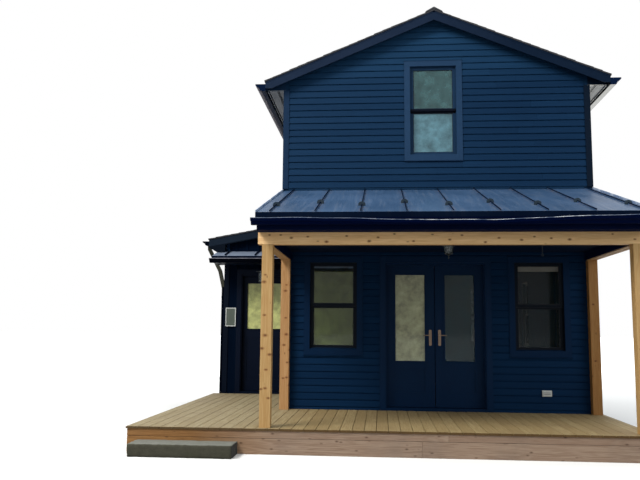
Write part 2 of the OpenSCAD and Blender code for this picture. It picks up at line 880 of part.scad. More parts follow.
module porch_trim() {
  color([0.04, 0.05, 0.08]) {
    union() {
      both_sides()
        porch_cheek();
      // the front fascia, then the soffit from it back over the beam
      block(-porch_x + fascia_end_in, porch_x - fascia_end_in, porch_fascia_y, porch_fascia_y + board_t,
        beam_top, porch_seat(porch_fascia_y));
      block(-porch_x + fascia_end_in, porch_x - fascia_end_in, porch_fascia_y, beam_y + post_w,
        beam_top, beam_top + soffit_t);
    }
    // boards on the inner faces of the side beams
    both_sides()
      block(porch_x - post_w - board_t, porch_x - post_w, beam_y + post_w, front_y,
        beam_z + board_t / 2, beam_top - ceiling_t);
  }
}

module porch_ceiling() {
  color([0.05, 0.06, 0.09])
    block(-porch_x + post_w, porch_x - post_w, beam_y + post_w, front_y,
      beam_top - ceiling_t, beam_top);
}

module porch_beams() {
  color([0.72, 0.55, 0.35])
    union() {
      block(-porch_x - beam_end_past, porch_x + beam_end_past, beam_y, beam_y + post_w, beam_z, beam_top);
      both_sides()
        block(porch_x - post_w, porch_x, beam_y + post_w - sink, front_y, beam_z, beam_top);
    }
}

module porch_posts() {
  color([0.72, 0.55, 0.35])
    both_sides() {
      block(porch_x - front_post_in - post_w, porch_x - front_post_in, beam_y, beam_y + post_w, deck_h, beam_z);
      block(porch_x - post_w, porch_x, front_y - post_w, front_y, deck_h, beam_z);
    }
}

// Deck

module deck_outline(lip) {
  polygon([[deck_x0 + lip, deck_y + lip], [deck_x1 - lip, deck_y + lip], [deck_x1 - lip, front_y],
    [-half_w, front_y], [-half_w, leanto_y], [deck_x0 + lip, leanto_y]]);
}

module deck_floor() {
  color([0.74, 0.66, 0.50])
    translate([0, 0, deck_h - deck_t])
      linear_extrude(deck_t)
        deck_outline(0);
}

// the skirt on the open edges, with a ledger along each wall
module deck_skirt() {
  edge = deck_lip + skirt_t;
  color([0.62, 0.42, 0.30])
    linear_extrude(deck_h - deck_t)
      difference() {
        deck_outline(deck_lip);
        translate([deck_x0 + edge, deck_y + edge])
          square([deck_x1 - deck_x0 - 2 * edge, front_y - deck_y - edge - joist_t]);
        translate([deck_x0 + edge, deck_y + edge])
          square([-half_w - deck_x0 - edge - joist_t, leanto_y - deck_y - edge - joist_t]);
      }
}

// joists across the boards, and a pier under each front post
module deck_joists() {
  top = deck_h - deck_t;
  edge = deck_lip + skirt_t;
  post_x = porch_x - front_post_in - post_w / 2;
  color([0.62, 0.42, 0.30]) {
    for (y = [deck_y + joist_pitch : joist_pitch : front_y - 2 * joist_t])
      block(deck_x0 + edge, deck_x1 - edge, y, y + joist_t, top - joist_h, top);
    for (y = [front_y + joist_t : joist_pitch : leanto_y - 2 * joist_t])
      block(deck_x0 + edge, -half_w - joist_t, y, y + joist_t, top - joist_h, top);
    both_sides()
      block(post_x - pier_w / 2, post_x + pier_w / 2, deck_y + edge, beam_y + post_w / 2 + pier_w / 2, 0, top);
  }
}

module stone_step() {
  y1 = deck_y + deck_lip;
  color([0.45, 0.44, 0.42])
    along_x([[y1 - step_d, 0], [y1, 0], [y1, step_h], [y1 - step_d + step_edge, step_h],
      [y1 - step_d, step_h - step_edge]], deck_x0 + step_in, deck_x0 + step_in + step_l);
}

// Windows

module casing(x, z0, z1, w) {
  difference() {
    block(x - w / 2 - casing_w + casing_lap, x + w / 2 + casing_w - casing_lap, -casing_t, 0,
      z0 - casing_w + casing_lap, z1 + casing_w - casing_lap);
    block(x - w / 2 + casing_lap, x + w / 2 - casing_lap, -casing_t - small, small, z0 + casing_lap,
      z1 - casing_lap);
  }
}

module window_casings(list) {
  for (w = list)
    casing(w[0], w[1] - w[2], w[1], window_w);
}

module frame_and_sashes(x, head, h) {
  inner = window_w / 2 - frame_w;
  middle = head - h / 2;
  upper_y = sash_set;
  lower_y = upper_y + sash_t;
  difference() {
    union() {
      difference() {
        block(x - window_w / 2, x + window_w / 2, 0, wall_t - frame_back, head - h, head);
        block(x - inner, x + inner, -small, wall_t + small, head - h + frame_w, head - frame_w);
      }
      block(x - inner - sink, x + inner + sink, upper_y, upper_y + sash_t,
        middle + meeting_shift - meeting_h / 2, head - frame_w + sink);
      block(x - inner - sink, x + inner + sink, lower_y, lower_y + sash_t, head - h + frame_w - sink,
        middle - meeting_shift + meeting_h / 2);
    }
    block(x - inner + sash_w, x + inner - sash_w, upper_y - small, upper_y + sash_t,
      middle + meeting_shift + meeting_h / 2, head - frame_w - sash_w);
    block(x - inner + sash_w, x + inner - sash_w, lower_y, lower_y + sash_t + small,
      head - h + frame_w + sash_w, middle - meeting_shift - meeting_h / 2);
  }
}

module window_units(list) {
  for (w = list)
    frame_and_sashes(w[0], w[1], w[2]);
}

module window_frames() {
  color([0.03, 0.03, 0.04]) {
    on_front() {
      window_units(front_low);
      window_units(gable_up);
    }
    on_back() {
      window_units(front_low);
      window_units(gable_up);
    }
    on_right()
      window_units(right_list);
    on_left()
      window_units(left_list);
    on_leanto_side()
      window_units(leanto_list);
  }
}

module panes(x, head, h) {
  half = window_w / 2 - frame_w - sash_w;
  middle = head - h / 2;
  upper_y = sash_set;
  lower_y = upper_y + sash_t;
  block(x - half, x + half, upper_y + (sash_t - pane_t) / 2, upper_y + (sash_t + pane_t) / 2,
    middle + meeting_shift + meeting_h / 2, head - frame_w - sash_w);
  block(x - half, x + half, lower_y + (sash_t - pane_t) / 2, lower_y + (sash_t + pane_t) / 2,
    head - h + frame_w + sash_w, middle - meeting_shift - meeting_h / 2);
}

module window_panes(list) {
  for (w = list)
    panes(w[0], w[1], w[2]);
}

module window_glass() {
  color([0.55, 0.62, 0.68, 0.35]) {
    on_front() {
      window_panes(front_low);
      window_panes(gable_up);
    }
    on_back() {
      window_panes(front_low);
      window_panes(gable_up);
    }
    on_right()
      window_panes(right_list);
    on_left()
      window_panes(left_list);
    on_leanto_side()
      window_panes(leanto_list);
  }
}

// A raised blind hangs from the head of each lower front window.
module window_blinds() {
  y0 = wall_t - frame_back - blind_d;
  inner = window_w / 2 - frame_w;
  color([0.80, 0.79, 0.75])
    on_front()
      for (w = front_low) {
        top = w[1] - frame_w;
        union() {
          block(w[0] - inner, w[0] + inner, y0, y0 + blind_d, top - rail_h, top);
          for (z = [top - rail_h - slat_pitch : -slat_pitch : top - blind_h])
            block(w[0] - inner + slat_pitch, w[0] + inner - slat_pitch, y0 + slat_gap, y0 + blind_d - slat_gap,
              z, z + slat_pitch - slat_gap);
          block(w[0] - inner + 2 * slat_pitch, w[0] + inner - 2 * slat_pitch, y0 + blind_d / 3,
            y0 + blind_d * 2 / 3, top - blind_h, top - rail_h + sink);
        }
      }
}

// Trim

// a corner board on the front of a corner and one on its side
module corner_boards(x, z_front, z_side, z1) {
  union() {
    block(x - casing_t, x + casing_w - casing_t, -casing_t, 0, z_front, z1);
    block(x - casing_t, x, -sink, sink, z_front, z1);
    block(x - casing_t, x, 0, casing_w - casing_t, z_side, z1);
  }
}

module wall_trim() {
  top = soffit_z - soffit_t;
  over_porch = porch_top(front_y) + seam_h;
  over_leanto = leanto_top(-half_w);
  color([0.05, 0.07, 0.11]) {
    on_front() {
      corner_boards(-half_w, over_porch, deck_h, top);
      mirror([1, 0, 0])
        corner_boards(-half_w, over_porch, deck_h, top);
      window_casings(front_low);
      window_casings(gable_up);
    }
    on_back() {
      corner_boards(-half_w, foundation_h, foundation_h, top);
      mirror([1, 0, 0]) {
        block(-half_w, -half_w + casing_w, -casing_t, 0, foundation_h, top);
        block(-half_w - casing_t, -half_w, 0, casing_w, over_leanto, top);
      }
      window_casings(front_low);
      window_casings(gable_up);
    }
    on_right()
      window_casings(right_list);
    on_left()
      window_casings(left_list);
    on_leanto_side()
      window_casings(leanto_list);
    translate([0, leanto_y, 0]) {
      block(leanto_x - casing_t, leanto_x + casing_w - casing_t, -casing_t, 0, deck_h, pent_soffit_z);
      block(leanto_x - casing_t, leanto_x, 0, casing_w - casing_t, foundation_h, leanto_soffit_z - soffit_t);
    }
    translate([0, back_y, 0])
      mirror([0, 1, 0])
        corner_boards(leanto_x, foundation_h, foundation_h, leanto_soffit_z - soffit_t);
  }
}

module door_casing(open) {
  difference() {
    block(-open - casing_w + casing_lap, open + casing_w - casing_lap, -casing_t, 0, deck_h,
      head_z + casing_w - casing_lap);
    block(-open + casing_lap, open - casing_lap, -casing_t - small, small, deck_h - small, head_z - casing_lap);
  }
}

// Doors

module hinge_heights() {
  for (z = [leaf_z + hinge_in, (leaf_z + leaf_top) / 2, leaf_top - hinge_in])
    translate([0, 0, z])
      children();
}

// the half of a hinge that the frame carries: a pin between two knuckles, with flaps toward -X
module frame_hinge() {
  length = knuckle_h + 2 * (flap_h + pin_gap);
  union() {
    translate([0, 0, -length / 2])
      cylinder(length, r = pin_r);
    for (z = [-length / 2, length / 2 - flap_h]) {
      translate([0, 0, z])
        cylinder(flap_h, r = knuckle_r);
      block(-flap_w, 0, -knuckle_r, flap_t - knuckle_r, z, z + flap_h);
    }
  }
}

// the half of a hinge that the leaf carries: a sleeve with a flap toward +X
module leaf_hinge() {
  difference() {
    union() {
      translate([0, 0, -knuckle_h / 2])
        cylinder(knuckle_h, r = knuckle_r);
      block(0, flap_w, -knuckle_r, flap_t - knuckle_r, -knuckle_h / 2, knuckle_h / 2);
    }
    translate([0, 0, -knuckle_h])
      cylinder(2 * knuckle_h, r = pin_r + pin_gap);
  }
}

module door_frame(open) {
  union() {
    door_casing(open);
    block(-open, -open + jamb_w, 0, wall_t, foundation_h, head_z);
    block(open - jamb_w, open, 0, wall_t, foundation_h, head_z);
    block(-open, open, 0, wall_t, head_z - head_t, head_z);
    block(-open, open, 0, wall_t, foundation_h, deck_h + sill_h);
    block(-open + casing_lap, open - casing_lap, -sill_nose, sink, deck_h, deck_h + sill_h - sill_fall);
    // the stops that the leaves close against
    difference() {
      block(-open + sink, open - sink, leaf_y - leaf_gap - stop_t, leaf_y - leaf_gap, deck_h + sill_h - sink,
        head_z - sink);
      block(-open + jamb_w + stop_w, open - jamb_w - stop_w, 0, wall_t, deck_h, head_z - head_t - stop_w);
    }
  }
}

module door_frames() {
  color([0.04, 0.05, 0.08]) {
    on_door_pair()
      union() {
        door_frame(pair_open);
        translate([-pair_open + jamb_w + leaf_gap / 2, wall_t + knuckle_r, 0])
          hinge_heights()
            frame_hinge();
        mirror([1, 0, 0])
          translate([-pair_open + jamb_w + leaf_gap / 2, wall_t + knuckle_r, 0])
            hinge_heights()
              frame_hinge();
      }
    on_leanto_front()
      union() {
        door_frame(side_open);
        translate([-side_open + jamb_w + leaf_gap / 2, wall_t + knuckle_r, 0])
          hinge_heights()
            frame_hinge();
      }
  }
}

// a leaf from x0 to x1 with a lite, a raised frame around it and a sunk panel below it, hung at x0
module leaf(x0, x1, lite_0, lite_1, z0, z1, rail) {
  difference() {
    union() {
      block(x0, x1, leaf_y, wall_t, leaf_z, leaf_top);
      block(lite_0 - bead_w, lite_1 + bead_w, leaf_y - bead_t, wall_t + bead_t, z0 - bead_w, z1 + bead_w);
      translate([x0 - leaf_gap / 2, wall_t + knuckle_r, 0])
        hinge_heights()
          leaf_hinge();
    }
    block(lite_0, lite_1, leaf_y - small, wall_t + small, z0, z1);
    for (y = [leaf_y - small, wall_t - panel_sink])
      block(lite_0, lite_1, y, y + small + (y < leaf_y ? panel_sink : 0), leaf_z + bottom_rail,
        z0 - bead_w - rail);
  }
}

module lite_pane(lite_0, lite_1, z0, z1) {
  block(lite_0, lite_1, leaf_y + leaf_t / 2 - pane_t, leaf_y + leaf_t / 2 + pane_t, z0, z1);
}

// a plate and a lever on each face of a leaf, the lever pointing toward -X
module handle(z) {
  for (side = [0, 1])
    translate([0, side == 0 ? leaf_y : wall_t, z])
      mirror([0, side, 0])
        union() {
          along_y([[-plate_w / 2, -plate_h / 2 + plate_cut], [-plate_w / 2 + plate_cut, -plate_h / 2],
            [plate_w / 2 - plate_cut, -plate_h / 2], [plate_w / 2, -plate_h / 2 + plate_cut],
            [plate_w / 2, plate_h / 2 - plate_cut], [plate_w / 2 - plate_cut, plate_h / 2],
            [-plate_w / 2 + plate_cut, plate_h / 2], [-plate_w / 2, plate_h / 2 - plate_cut]], -plate_t, 0);
          translate([0, -neck_l, lever_up])
            rotate([-90, 0, 0])
              cylinder(neck_l, r = neck_r);
          along_y([[neck_r, lever_up + neck_r], [-lever_l * 0.5, lever_up + neck_r * 0.7],
            [-lever_l, lever_up + neck_r * 0.2], [-lever_l, lever_up - neck_r * 0.9],
            [-lever_l * 0.5, lever_up - neck_r * 0.5], [neck_r, lever_up - neck_r]],
            -neck_l - lever_t, -neck_l + sink);
        }
}

// The pair's left leaf is hung at its left edge; the right leaf mirrors it.
module french_leaf() {
  leaf(-meet_gap - leaf_w, -meet_gap, -lite_x - lite_w, -lite_x, lite_z, pair_lite_z1, mid_rail);
}

module french_pane() {
  lite_pane(-lite_x - lite_w, -lite_x, lite_z, pair_lite_z1);
}

module french_handle() {
  translate([-meet_gap - plate_x, 0, 0])
    handle(plate_z);
}

module french_door_left() {
  color([0.04, 0.05, 0.08])
    on_door_pair()
      french_leaf();
}

module french_door_right() {
  color([0.04, 0.05, 0.08])
    on_door_pair()
      mirror([1, 0, 0])
        french_leaf();
}

module french_glass_left() {
  color([0.55, 0.62, 0.68, 0.35])
    on_door_pair()
      french_pane();
}

module french_glass_right() {
  color([0.55, 0.62, 0.68, 0.35])
    on_door_pair()
      mirror([1, 0, 0])
        french_pane();
}

module french_handle_left() {
  color([0.45, 0.33, 0.20])
    on_door_pair()
      french_handle();
}

module french_handle_right() {
  color([0.45, 0.33, 0.20])
    on_door_pair()
      mirror([1, 0, 0])
        french_handle();
}

module side_door() {
  color([0.04, 0.05, 0.08])
    on_leanto_front()
      leaf(-side_leaf_w / 2, side_leaf_w / 2, -side_lite_w / 2, side_lite_w / 2, side_lite_z,
        side_lite_z + side_lite_h, side_mid_rail);
}

module side_door_glass() {
  color([0.55, 0.62, 0.68, 0.35])
    on_leanto_front()
      lite_pane(-side_lite_w / 2, side_lite_w / 2, side_lite_z, side_lite_z + side_lite_h);
}

module side_door_handle() {
  color([0.45, 0.33, 0.20])
    on_leanto_front()
      translate([side_leaf_w / 2 - plate_w / 2 - plate_edge, 0, 0])
        handle(side_lite_z - bead_w - side_plate_gap - plate_h / 2);
}

// Fittings

// a hanging lantern whose tip is at 0 and cap at cap_z, on a stem up to a rose at rose_z
module lantern_metal(cap_z, cap_r, rose_z) {
  union() {
    rotate_extrude()
      polygon([[0, rose_z], [rose_r, rose_z], [rose_r, rose_z - rose_t], [stem_r, rose_z - 2 * rose_t],
        [stem_r, cap_z + cap_h], [cap_r * 0.35, cap_z + cap_h * 0.8], [cap_r, cap_z + cap_t], [cap_r, cap_z],
        [0, cap_z]]);
    // the finial and the ring under the glass
    rotate_extrude()
      polygon([[0, 0], [tip_r * 0.6, tip_h * 0.08], [tip_r, tip_h * 0.25], [tip_r * 0.6, tip_h * 0.45],
        [tip_r, tip_h * 0.6], [cup_r * 0.6, tip_h - cup_t], [cup_r, tip_h - cup_t * 0.6], [cup_r, tip_h],
        [0, tip_h]]);
    for (a = [45 : 90 : 315])
      rotate([0, 0, a])
        along_y([[glass_r + roof_gap, cap_z + sink], [glass_r + rib_t, cap_z + sink], [cup_r, tip_h - sink],
          [cup_r - rib_t, tip_h - sink]], -rib_t / 2, rib_t / 2);
  }
}

module lantern_shade(cap_z) {
  low_r = cup_r - rib_t - roof_gap;
  translate([0, 0, tip_h])
    rotate_extrude()
      polygon([[low_r - shade_t, 0], [low_r, 0], [glass_r, cap_z - tip_h], [glass_r - shade_t, cap_z - tip_h]]);
}

module at_ceiling_lantern() {
  translate([lantern_x, front_y - lantern_y, lantern_tip_z])
    children();
}

module at_side_lantern() {
  translate([side_x - side_lantern_x, leanto_y - pent_d / 2, side_lantern_z])
    children();
}

module lanterns() {
  color([0.10, 0.09, 0.08]) {
    at_ceiling_lantern()
      lantern_metal(ceiling_cap, lantern_r, ceiling_rose);
    at_side_lantern()
      lantern_metal(side_cap, side_lantern_r, pent_soffit_z - side_lantern_z);
    // the small hook under the ceiling
    translate([hook_x, front_y - lantern_y, beam_top - ceiling_t - hook_l])
      union() {
        translate([0, 0, 2 * hook_ring])
          cylinder(hook_l - 2 * hook_ring, r = hook_r);
        translate([0, 0, hook_ring])
          rotate([90, 0, 0])
            rotate_extrude()
              translate([hook_ring, 0])
                circle(hook_r);
      }
  }
}

module lantern_glass() {
  color([0.60, 0.64, 0.66, 0.35]) {
    at_ceiling_lantern()
      lantern_shade(ceiling_cap);
    at_side_lantern()
      lantern_shade(side_cap);
  }
}

module wall_plates() {
  color([0.62, 0.62, 0.60]) {
    // a framed board over the lean-to's corner board
    on_leanto_front()
      difference() {
        block(-sign_x - sign_w / 2, -sign_x + sign_w / 2, -casing_t - sign_t, -casing_t, sign_z - sign_h / 2,
          sign_z + sign_h / 2);
        block(-sign_x - sign_w / 2 + sign_rim, -sign_x + sign_w / 2 - sign_rim, -casing_t - sign_t - small,
          -casing_t - sign_t / 2, sign_z - sign_h / 2 + sign_rim, sign_z + sign_h / 2 - sign_rim);
      }
    // the outlet cover
    on_front()
      union() {
        block(outlet_x - outlet_w / 2, outlet_x + outlet_w / 2, -outlet_t, 0, outlet_z - outlet_h / 2,
          outlet_z + outlet_h / 2);
        block(outlet_x - outlet_w / 2 + outlet_rim, outlet_x + outlet_w / 2 - outlet_rim,
          -outlet_t - outlet_rim, 0, outlet_z - outlet_h / 2 + outlet_rim, outlet_z + outlet_h / 2 - outlet_rim);
      }
  }
}

foundation();
floors();
front_wall_sides();
front_wall_upper();
left_wall();
right_wall();
back_wall();
leanto_front_sides();
leanto_front_over();
leanto_side_wall();
leanto_back_wall();
main_roof();
rakes();
eave_fascias();
eave_soffits();
gutters();
leanto_roof();
pent_roof();
porch_roof();
snow_guards();
porch_trim();
porch_ceiling();
porch_beams();
porch_posts();
deck_floor();
deck_skirt();
deck_joists();
stone_step();
wall_trim();
window_frames();
window_glass();
window_blinds();
door_frames();
french_door_left();
french_door_right();
french_glass_left();
french_glass_right();
french_handle_left();
french_handle_right();
side_door();
side_door_glass();
side_door_handle();
lanterns();
lantern_glass();
wall_plates();
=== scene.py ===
"""Looks of the two-storey gabled cabin: siding, shingles, boards, fittings, materials, light and camera.

Everything is in metres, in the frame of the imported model: +Z up, the porch faces -Y.
"""

import json
import math
import random
from functools import cached_property

import bmesh
import bpy
import numpy as np
from mathutils import Matrix, Vector


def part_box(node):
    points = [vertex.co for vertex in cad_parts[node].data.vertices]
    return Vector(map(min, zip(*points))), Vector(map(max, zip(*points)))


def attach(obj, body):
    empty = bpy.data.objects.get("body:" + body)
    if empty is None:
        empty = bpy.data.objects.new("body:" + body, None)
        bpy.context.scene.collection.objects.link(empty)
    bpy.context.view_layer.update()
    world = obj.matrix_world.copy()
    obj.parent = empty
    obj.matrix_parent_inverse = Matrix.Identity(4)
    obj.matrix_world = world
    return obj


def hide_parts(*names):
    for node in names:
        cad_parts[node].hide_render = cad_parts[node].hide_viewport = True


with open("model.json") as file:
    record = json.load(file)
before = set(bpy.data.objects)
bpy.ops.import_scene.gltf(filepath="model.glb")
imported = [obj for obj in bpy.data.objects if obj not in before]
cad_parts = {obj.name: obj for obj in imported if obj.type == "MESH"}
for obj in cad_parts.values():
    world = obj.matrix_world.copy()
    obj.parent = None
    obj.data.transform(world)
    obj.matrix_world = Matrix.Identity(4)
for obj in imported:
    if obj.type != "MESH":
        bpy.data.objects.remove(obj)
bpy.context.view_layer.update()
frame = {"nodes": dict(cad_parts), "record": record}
dice = random.Random(7)

# Places that the pieces share. Those that a node's box gives are read from it.

HALF_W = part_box("right_wall")[1].x
FRONT_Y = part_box("front_wall_upper")[0].y
BACK_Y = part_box("back_wall")[1].y
LEAN_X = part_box("leanto_side_wall")[0].x
LEAN_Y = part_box("leanto_front_over")[0].y
PORCH_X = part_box("porch_posts")[1].x
POST_W = 0.132
BEAM_BACK_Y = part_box("porch_beams")[0].y + POST_W + 0.001
WALL_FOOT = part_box("back_wall")[0].z
DECK_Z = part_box("deck_floor")[1].z
SOFFIT_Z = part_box("eave_soffits")[1].z - 0.01
LEAN_SOFFIT_Z = 2.975
CEILING_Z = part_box("porch_ceiling")[0].z
SLOPE = math.tan(math.radians(22.6))
RIDGE_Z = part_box("main_roof")[1].z - 0.038
EAVE_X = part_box("main_roof")[1].x
ROOF_END_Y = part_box("main_roof")[1].y
ROOF_DEPTH = 0.088
LEAN_ROOF_LO, LEAN_ROOF_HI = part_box("leanto_roof")
LEAN_SLOPE = math.tan(math.radians(10.5))
CORNER_IN = 0.064
WINDOW_W, CASING_OUT = 0.736, 0.074
SEAM_PITCH, SEAM_SHIFT, SEAM_H = 0.546, 0.029, 0.026
OUTLET_X, OUTLET_Z = 1.573, 0.582


def roof_top(x):
    return RIDGE_Z - abs(x) * SLOPE


def lean_top(x):
    return LEAN_ROOF_HI.z + (x + HALF_W) * LEAN_SLOPE


class Pitch:
    """A metal roof that rises toward +Y from its front edge to a wall."""

    def __init__(self, node, edge_z, degrees, wall_y):
        self.lo, self.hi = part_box(node)
        self.edge_y, self.edge_z = self.lo.y, edge_z
        self.slope = math.tan(math.radians(degrees))
        self.size = math.hypot(1.0, self.slope)
        self.run = (wall_y - self.edge_y) * self.size

    def top(self, y):
        return self.edge_z + (y - self.edge_y) * self.slope

    def place(self, s, x, n):
        """Up the slope, along X, out from the surface."""
        y, z = (s - n * self.slope) / self.size, (s * self.slope + n) / self.size
        return (x, self.edge_y + y, self.edge_z + z)


porch = Pitch("porch_roof", 2.867, 16.68, FRONT_Y)
pent = Pitch("pent_roof", 2.78, 15, LEAN_Y)


def wall_frame(x, y, along, out):
    """A wall's own frame: along the wall, out from it, up."""

    def place(u, n, z):
        return (x + u * along[0] + n * out[0], y + u * along[1] + n * out[1], z)

    return place


on_front = wall_frame(0, FRONT_Y, (1, 0), (0, -1))
on_back = wall_frame(0, BACK_Y, (-1, 0), (0, 1))
on_right = wall_frame(HALF_W, 0, (0, 1), (1, 0))
on_left = wall_frame(-HALF_W, 0, (0, -1), (-1, 0))
on_lean_front = wall_frame(0, LEAN_Y, (1, 0), (0, -1))
on_lean_side = wall_frame(LEAN_X, 0, (0, -1), (-1, 0))

# windows on each wall: place along the wall, head, height of the opening
LOW_HEAD, LOW_H = 2.5, 1.328
FRONT_LOW = [(-1.538, LOW_HEAD, LOW_H), (1.502, LOW_HEAD, LOW_H)]
GABLE_UP = [(-0.018, 5.554, 1.429)]
RIGHT_WINDOWS = [(-1.5, LOW_HEAD, LOW_H), (1.5, LOW_HEAD, LOW_H), (0.0, 4.96, LOW_H)]
LEFT_WINDOWS = [(1.5, 4.96, LOW_H)]
LEAN_WINDOWS = [(-1.215, LOW_HEAD, LOW_H)]


def window_hole(u, head, height):
    """The rectangle that a window's casing covers: u0, u1, z0, z1."""
    half = WINDOW_W / 2 + CASING_OUT
    return (u - half, u + half, head - height - CASING_OUT, head + CASING_OUT)


# Node trees and materials

class Nodes:
    """A node tree, written with short calls."""

    def __init__(self, tree):
        self.tree = tree

    def node(self, kind, inputs=(), **settings):
        made = self.tree.nodes.new("ShaderNode" + kind)
        for key, value in settings.items():
            setattr(made, key, value)
        for key, value in dict(inputs).items():
            self.put(made.inputs[key], value)
        return made

    def put(self, socket, value):
        """Links a socket or sets its value; a colour may come without its alpha."""
        if isinstance(value, bpy.types.NodeSocket):
            self.tree.links.new(value, socket)
        elif socket.type == "RGBA" and len(value) == 3:
            socket.default_value = (*value, 1)
        else:
            socket.default_value = value

    def coordinates(self, kind="Object"):
        return self.node("TexCoord").outputs[kind]

    def split(self, vector):
        return self.node("SeparateXYZ", {0: vector}).outputs

    @cached_property
    def axes(self):
        """X, Y and Z of the place."""
        return self.split(self.coordinates())

    @cached_property
    def facing(self):
        """X, Y and Z of the surface's normal."""
        return self.split(self.node("NewGeometry").outputs["Normal"])

    def reordered(self, order):
        """The place with its axes in another order, such as ZXY."""
        return self.node("CombineXYZ", {i: self.axes[a] for i, a in enumerate(order)}).outputs[0]

    def scaled(self, vector, scale):
        return self.node("VectorMath", {0: vector, 1: scale}, operation="MULTIPLY").outputs[0]

    def place(self, *scale):
        """The place, scaled by one number or by three."""
        return self.scaled(self.coordinates(), scale if len(scale) == 3 else scale * 3)

    def tone(self):
        return self.node("Attribute", attribute_name="tone").outputs["Fac"]

    def noise(self, where, detail, roughness, distortion=0.0):
        """where is a vector, or the scale of the place."""
        vector = where if isinstance(where, bpy.types.NodeSocket) else self.place(where)
        inputs = {"Vector": vector, "Scale": 1.0, "Detail": detail, "Roughness": roughness,
                  "Distortion": distortion}
        return self.node("TexNoise", inputs).outputs["Fac"]

    def ramp(self, value, low, high, start=0.0, end=1.0):
        """Maps a value from low..high to start..end, and holds it there outside."""
        inputs = {"Value": value, "From Min": low, "From Max": high, "To Min": start, "To Max": end}
        return self.node("MapRange", inputs, clamp=True).outputs["Result"]

    def maths(self, operation, a, b=0.0, c=0.0):
        return self.node("Math", {0: a, 1: b, 2: c}, operation=operation).outputs[0]

    def both(self, a, b):
        return self.maths("MULTIPLY", a, b)

    def below(self, value, limit):
        return self.maths("LESS_THAN", value, limit)

    def above(self, value, limit):
        return self.maths("GREATER_THAN", value, limit)

    def weigh(self, a, share_a, b, share_b):
        """The sum of two values, each times its share."""
        return self.maths("ADD", self.both(a, share_a), self.both(b, share_b))

    def mix(self, share, a, b, blend="MIX"):
        made = self.node("Mix", {0: share, 6: a, 7: b}, data_type="RGBA", blend_type=blend)
        return made.outputs[2]

    def choose(self, share, a, b):
        """mix for plain numbers."""
        return self.node("Mix", {0: share, 2: a, 3: b}, data_type="FLOAT").outputs[0]

    def tint(self, share, colour, factor):
        return self.mix(share, colour, self.mix(1.0, colour, factor, "MULTIPLY"))

    def seen(self):
        """1 for camera, glossy and transmission rays, and 0 for the rays that light the object."""
        rays = self.node("LightPath").outputs
        either = self.maths("MAXIMUM", rays["Is Camera Ray"], rays["Is Glossy Ray"])
        return self.maths("MAXIMUM", either, rays["Is Transmission Ray"])


class Look(Nodes):
    """One material."""

    def __init__(self, name):
        self.material = bpy.data.materials.new(name)
        self.material.use_nodes = True
        super().__init__(self.material.node_tree)
        self.surface = self.tree.nodes["Principled BSDF"]

    def bump(self, height, distance):
        made = self.node("Bump", {"Height": height, "Distance": distance, "Strength": 1.0})
        self.put(self.surface.inputs["Normal"], made.outputs["Normal"])

    def finish(self, colour, roughness, metallic, specular):
        for name, value in (("Base Color", colour), ("Roughness", roughness), ("Metallic", metallic),
                            ("Specular IOR Level", specular)):
            self.put(self.surface.inputs[name], value)
        return self.material


def shade(colour, factor):
    return tuple(factor * c for c in colour)


# Masks: functions of a look that are 1 in one place and 0 elsewhere

OPEN = (None, None)


def zone(x=OPEN, y=OPEN, z=OPEN):
    """A box whose sides may be open."""

    def mask(look):
        share = 1.0
        for axis, (low, high) in zip("XYZ", (x, y, z)):
            if low is not None:
                share = look.both(share, look.above(look.axes[axis], low))
            if high is not None:
                share = look.both(share, look.below(look.axes[axis], high))
        return share

    return mask


def fade(axis, start, end):
    """From 0 at one place on an axis to 1 at another."""
    return lambda look: look.ramp(look.axes[axis], start, end)


IN_FRONT_WALL = (None, FRONT_Y + 0.2)
UPSTAIRS_Z = 3.5
under_porch = zone(y=(None, FRONT_Y - 0.004), z=(None, CEILING_Z))
under_porch_frames = zone(y=IN_FRONT_WALL, z=(None, CEILING_Z))
on_leanto = zone(x=(None, -HALF_W - 0.03), z=(None, 4.0))
round_gable_window = zone(x=(-0.6, 0.6), z=(UPSTAIRS_Z, None))
meeting_rail = zone(x=(-0.6, 0.6), z=(4.806, 4.868))
near_the_ridge = fade("Z", 5.2, 5.9)
right_of_the_ridge = fade("X", -0.2, 1.2)
porch_gutter = zone(y=(None, -5.4))
right_corner = zone(x=(HALF_W - 0.1, None))
wall_posts = zone(y=(-4.0, None))
right_wall_post = zone(x=(0.0, None), y=(-4.0, None))
side_beams = zone(y=(BEAM_BACK_Y, None))
right_beam = fade("X", -0.5, 2.3)
deck_before_the_doors = fade("X", -2.6, -1.8)
left_skirt = fade("X", -2.0, -3.1)
gable_panes = zone(y=IN_FRONT_WALL, z=(UPSTAIRS_Z, None))
low_gable_pane = zone(y=IN_FRONT_WALL, z=(UPSTAIRS_Z, 4.84))
right_panes = zone(x=(0.0, None), y=IN_FRONT_WALL, z=(None, UPSTAIRS_Z))


def left_panes(foot=None):
    """The panes left of the porch doors, or their part above a height."""
    return zone(x=(None, 0.0), y=IN_FRONT_WALL, z=(foot, UPSTAIRS_Z))


def under_lean_rake(look):
    """The boards that close the lean-to's eave under its rakes, darkened there as painted shade."""
    drop = LEAN_ROOF_HI.z + HALF_W * LEAN_SLOPE - 0.145
    rake_foot = look.maths("MULTIPLY_ADD", look.axes["X"], LEAN_SLOPE, drop)
    return look.both(on_leanto(look), look.below(look.axes["Z"], rake_foot))


def board_ends(look):
    """The deck boards' sawn front ends."""
    return look.ramp(look.facing["Y"], -0.8, -0.95)


# Where wood takes its grain from: a vector whose first part runs along it

def board_grain(look):
    """A board's own coordinates: along it, across it, through it."""
    return look.node("Attribute", attribute_name="grain").outputs["Vector"]


def beam_grain(look):
    """The porch beams' grain: along X in the front beam, along Y in the side beams behind it."""
    return look.mix(side_beams(look), look.reordered("XYZ"), look.reordered("YXZ"))


def post_grain(look):
    return look.reordered("ZXY")


def along_x(look):
    return look.coordinates()


# Kinds of material

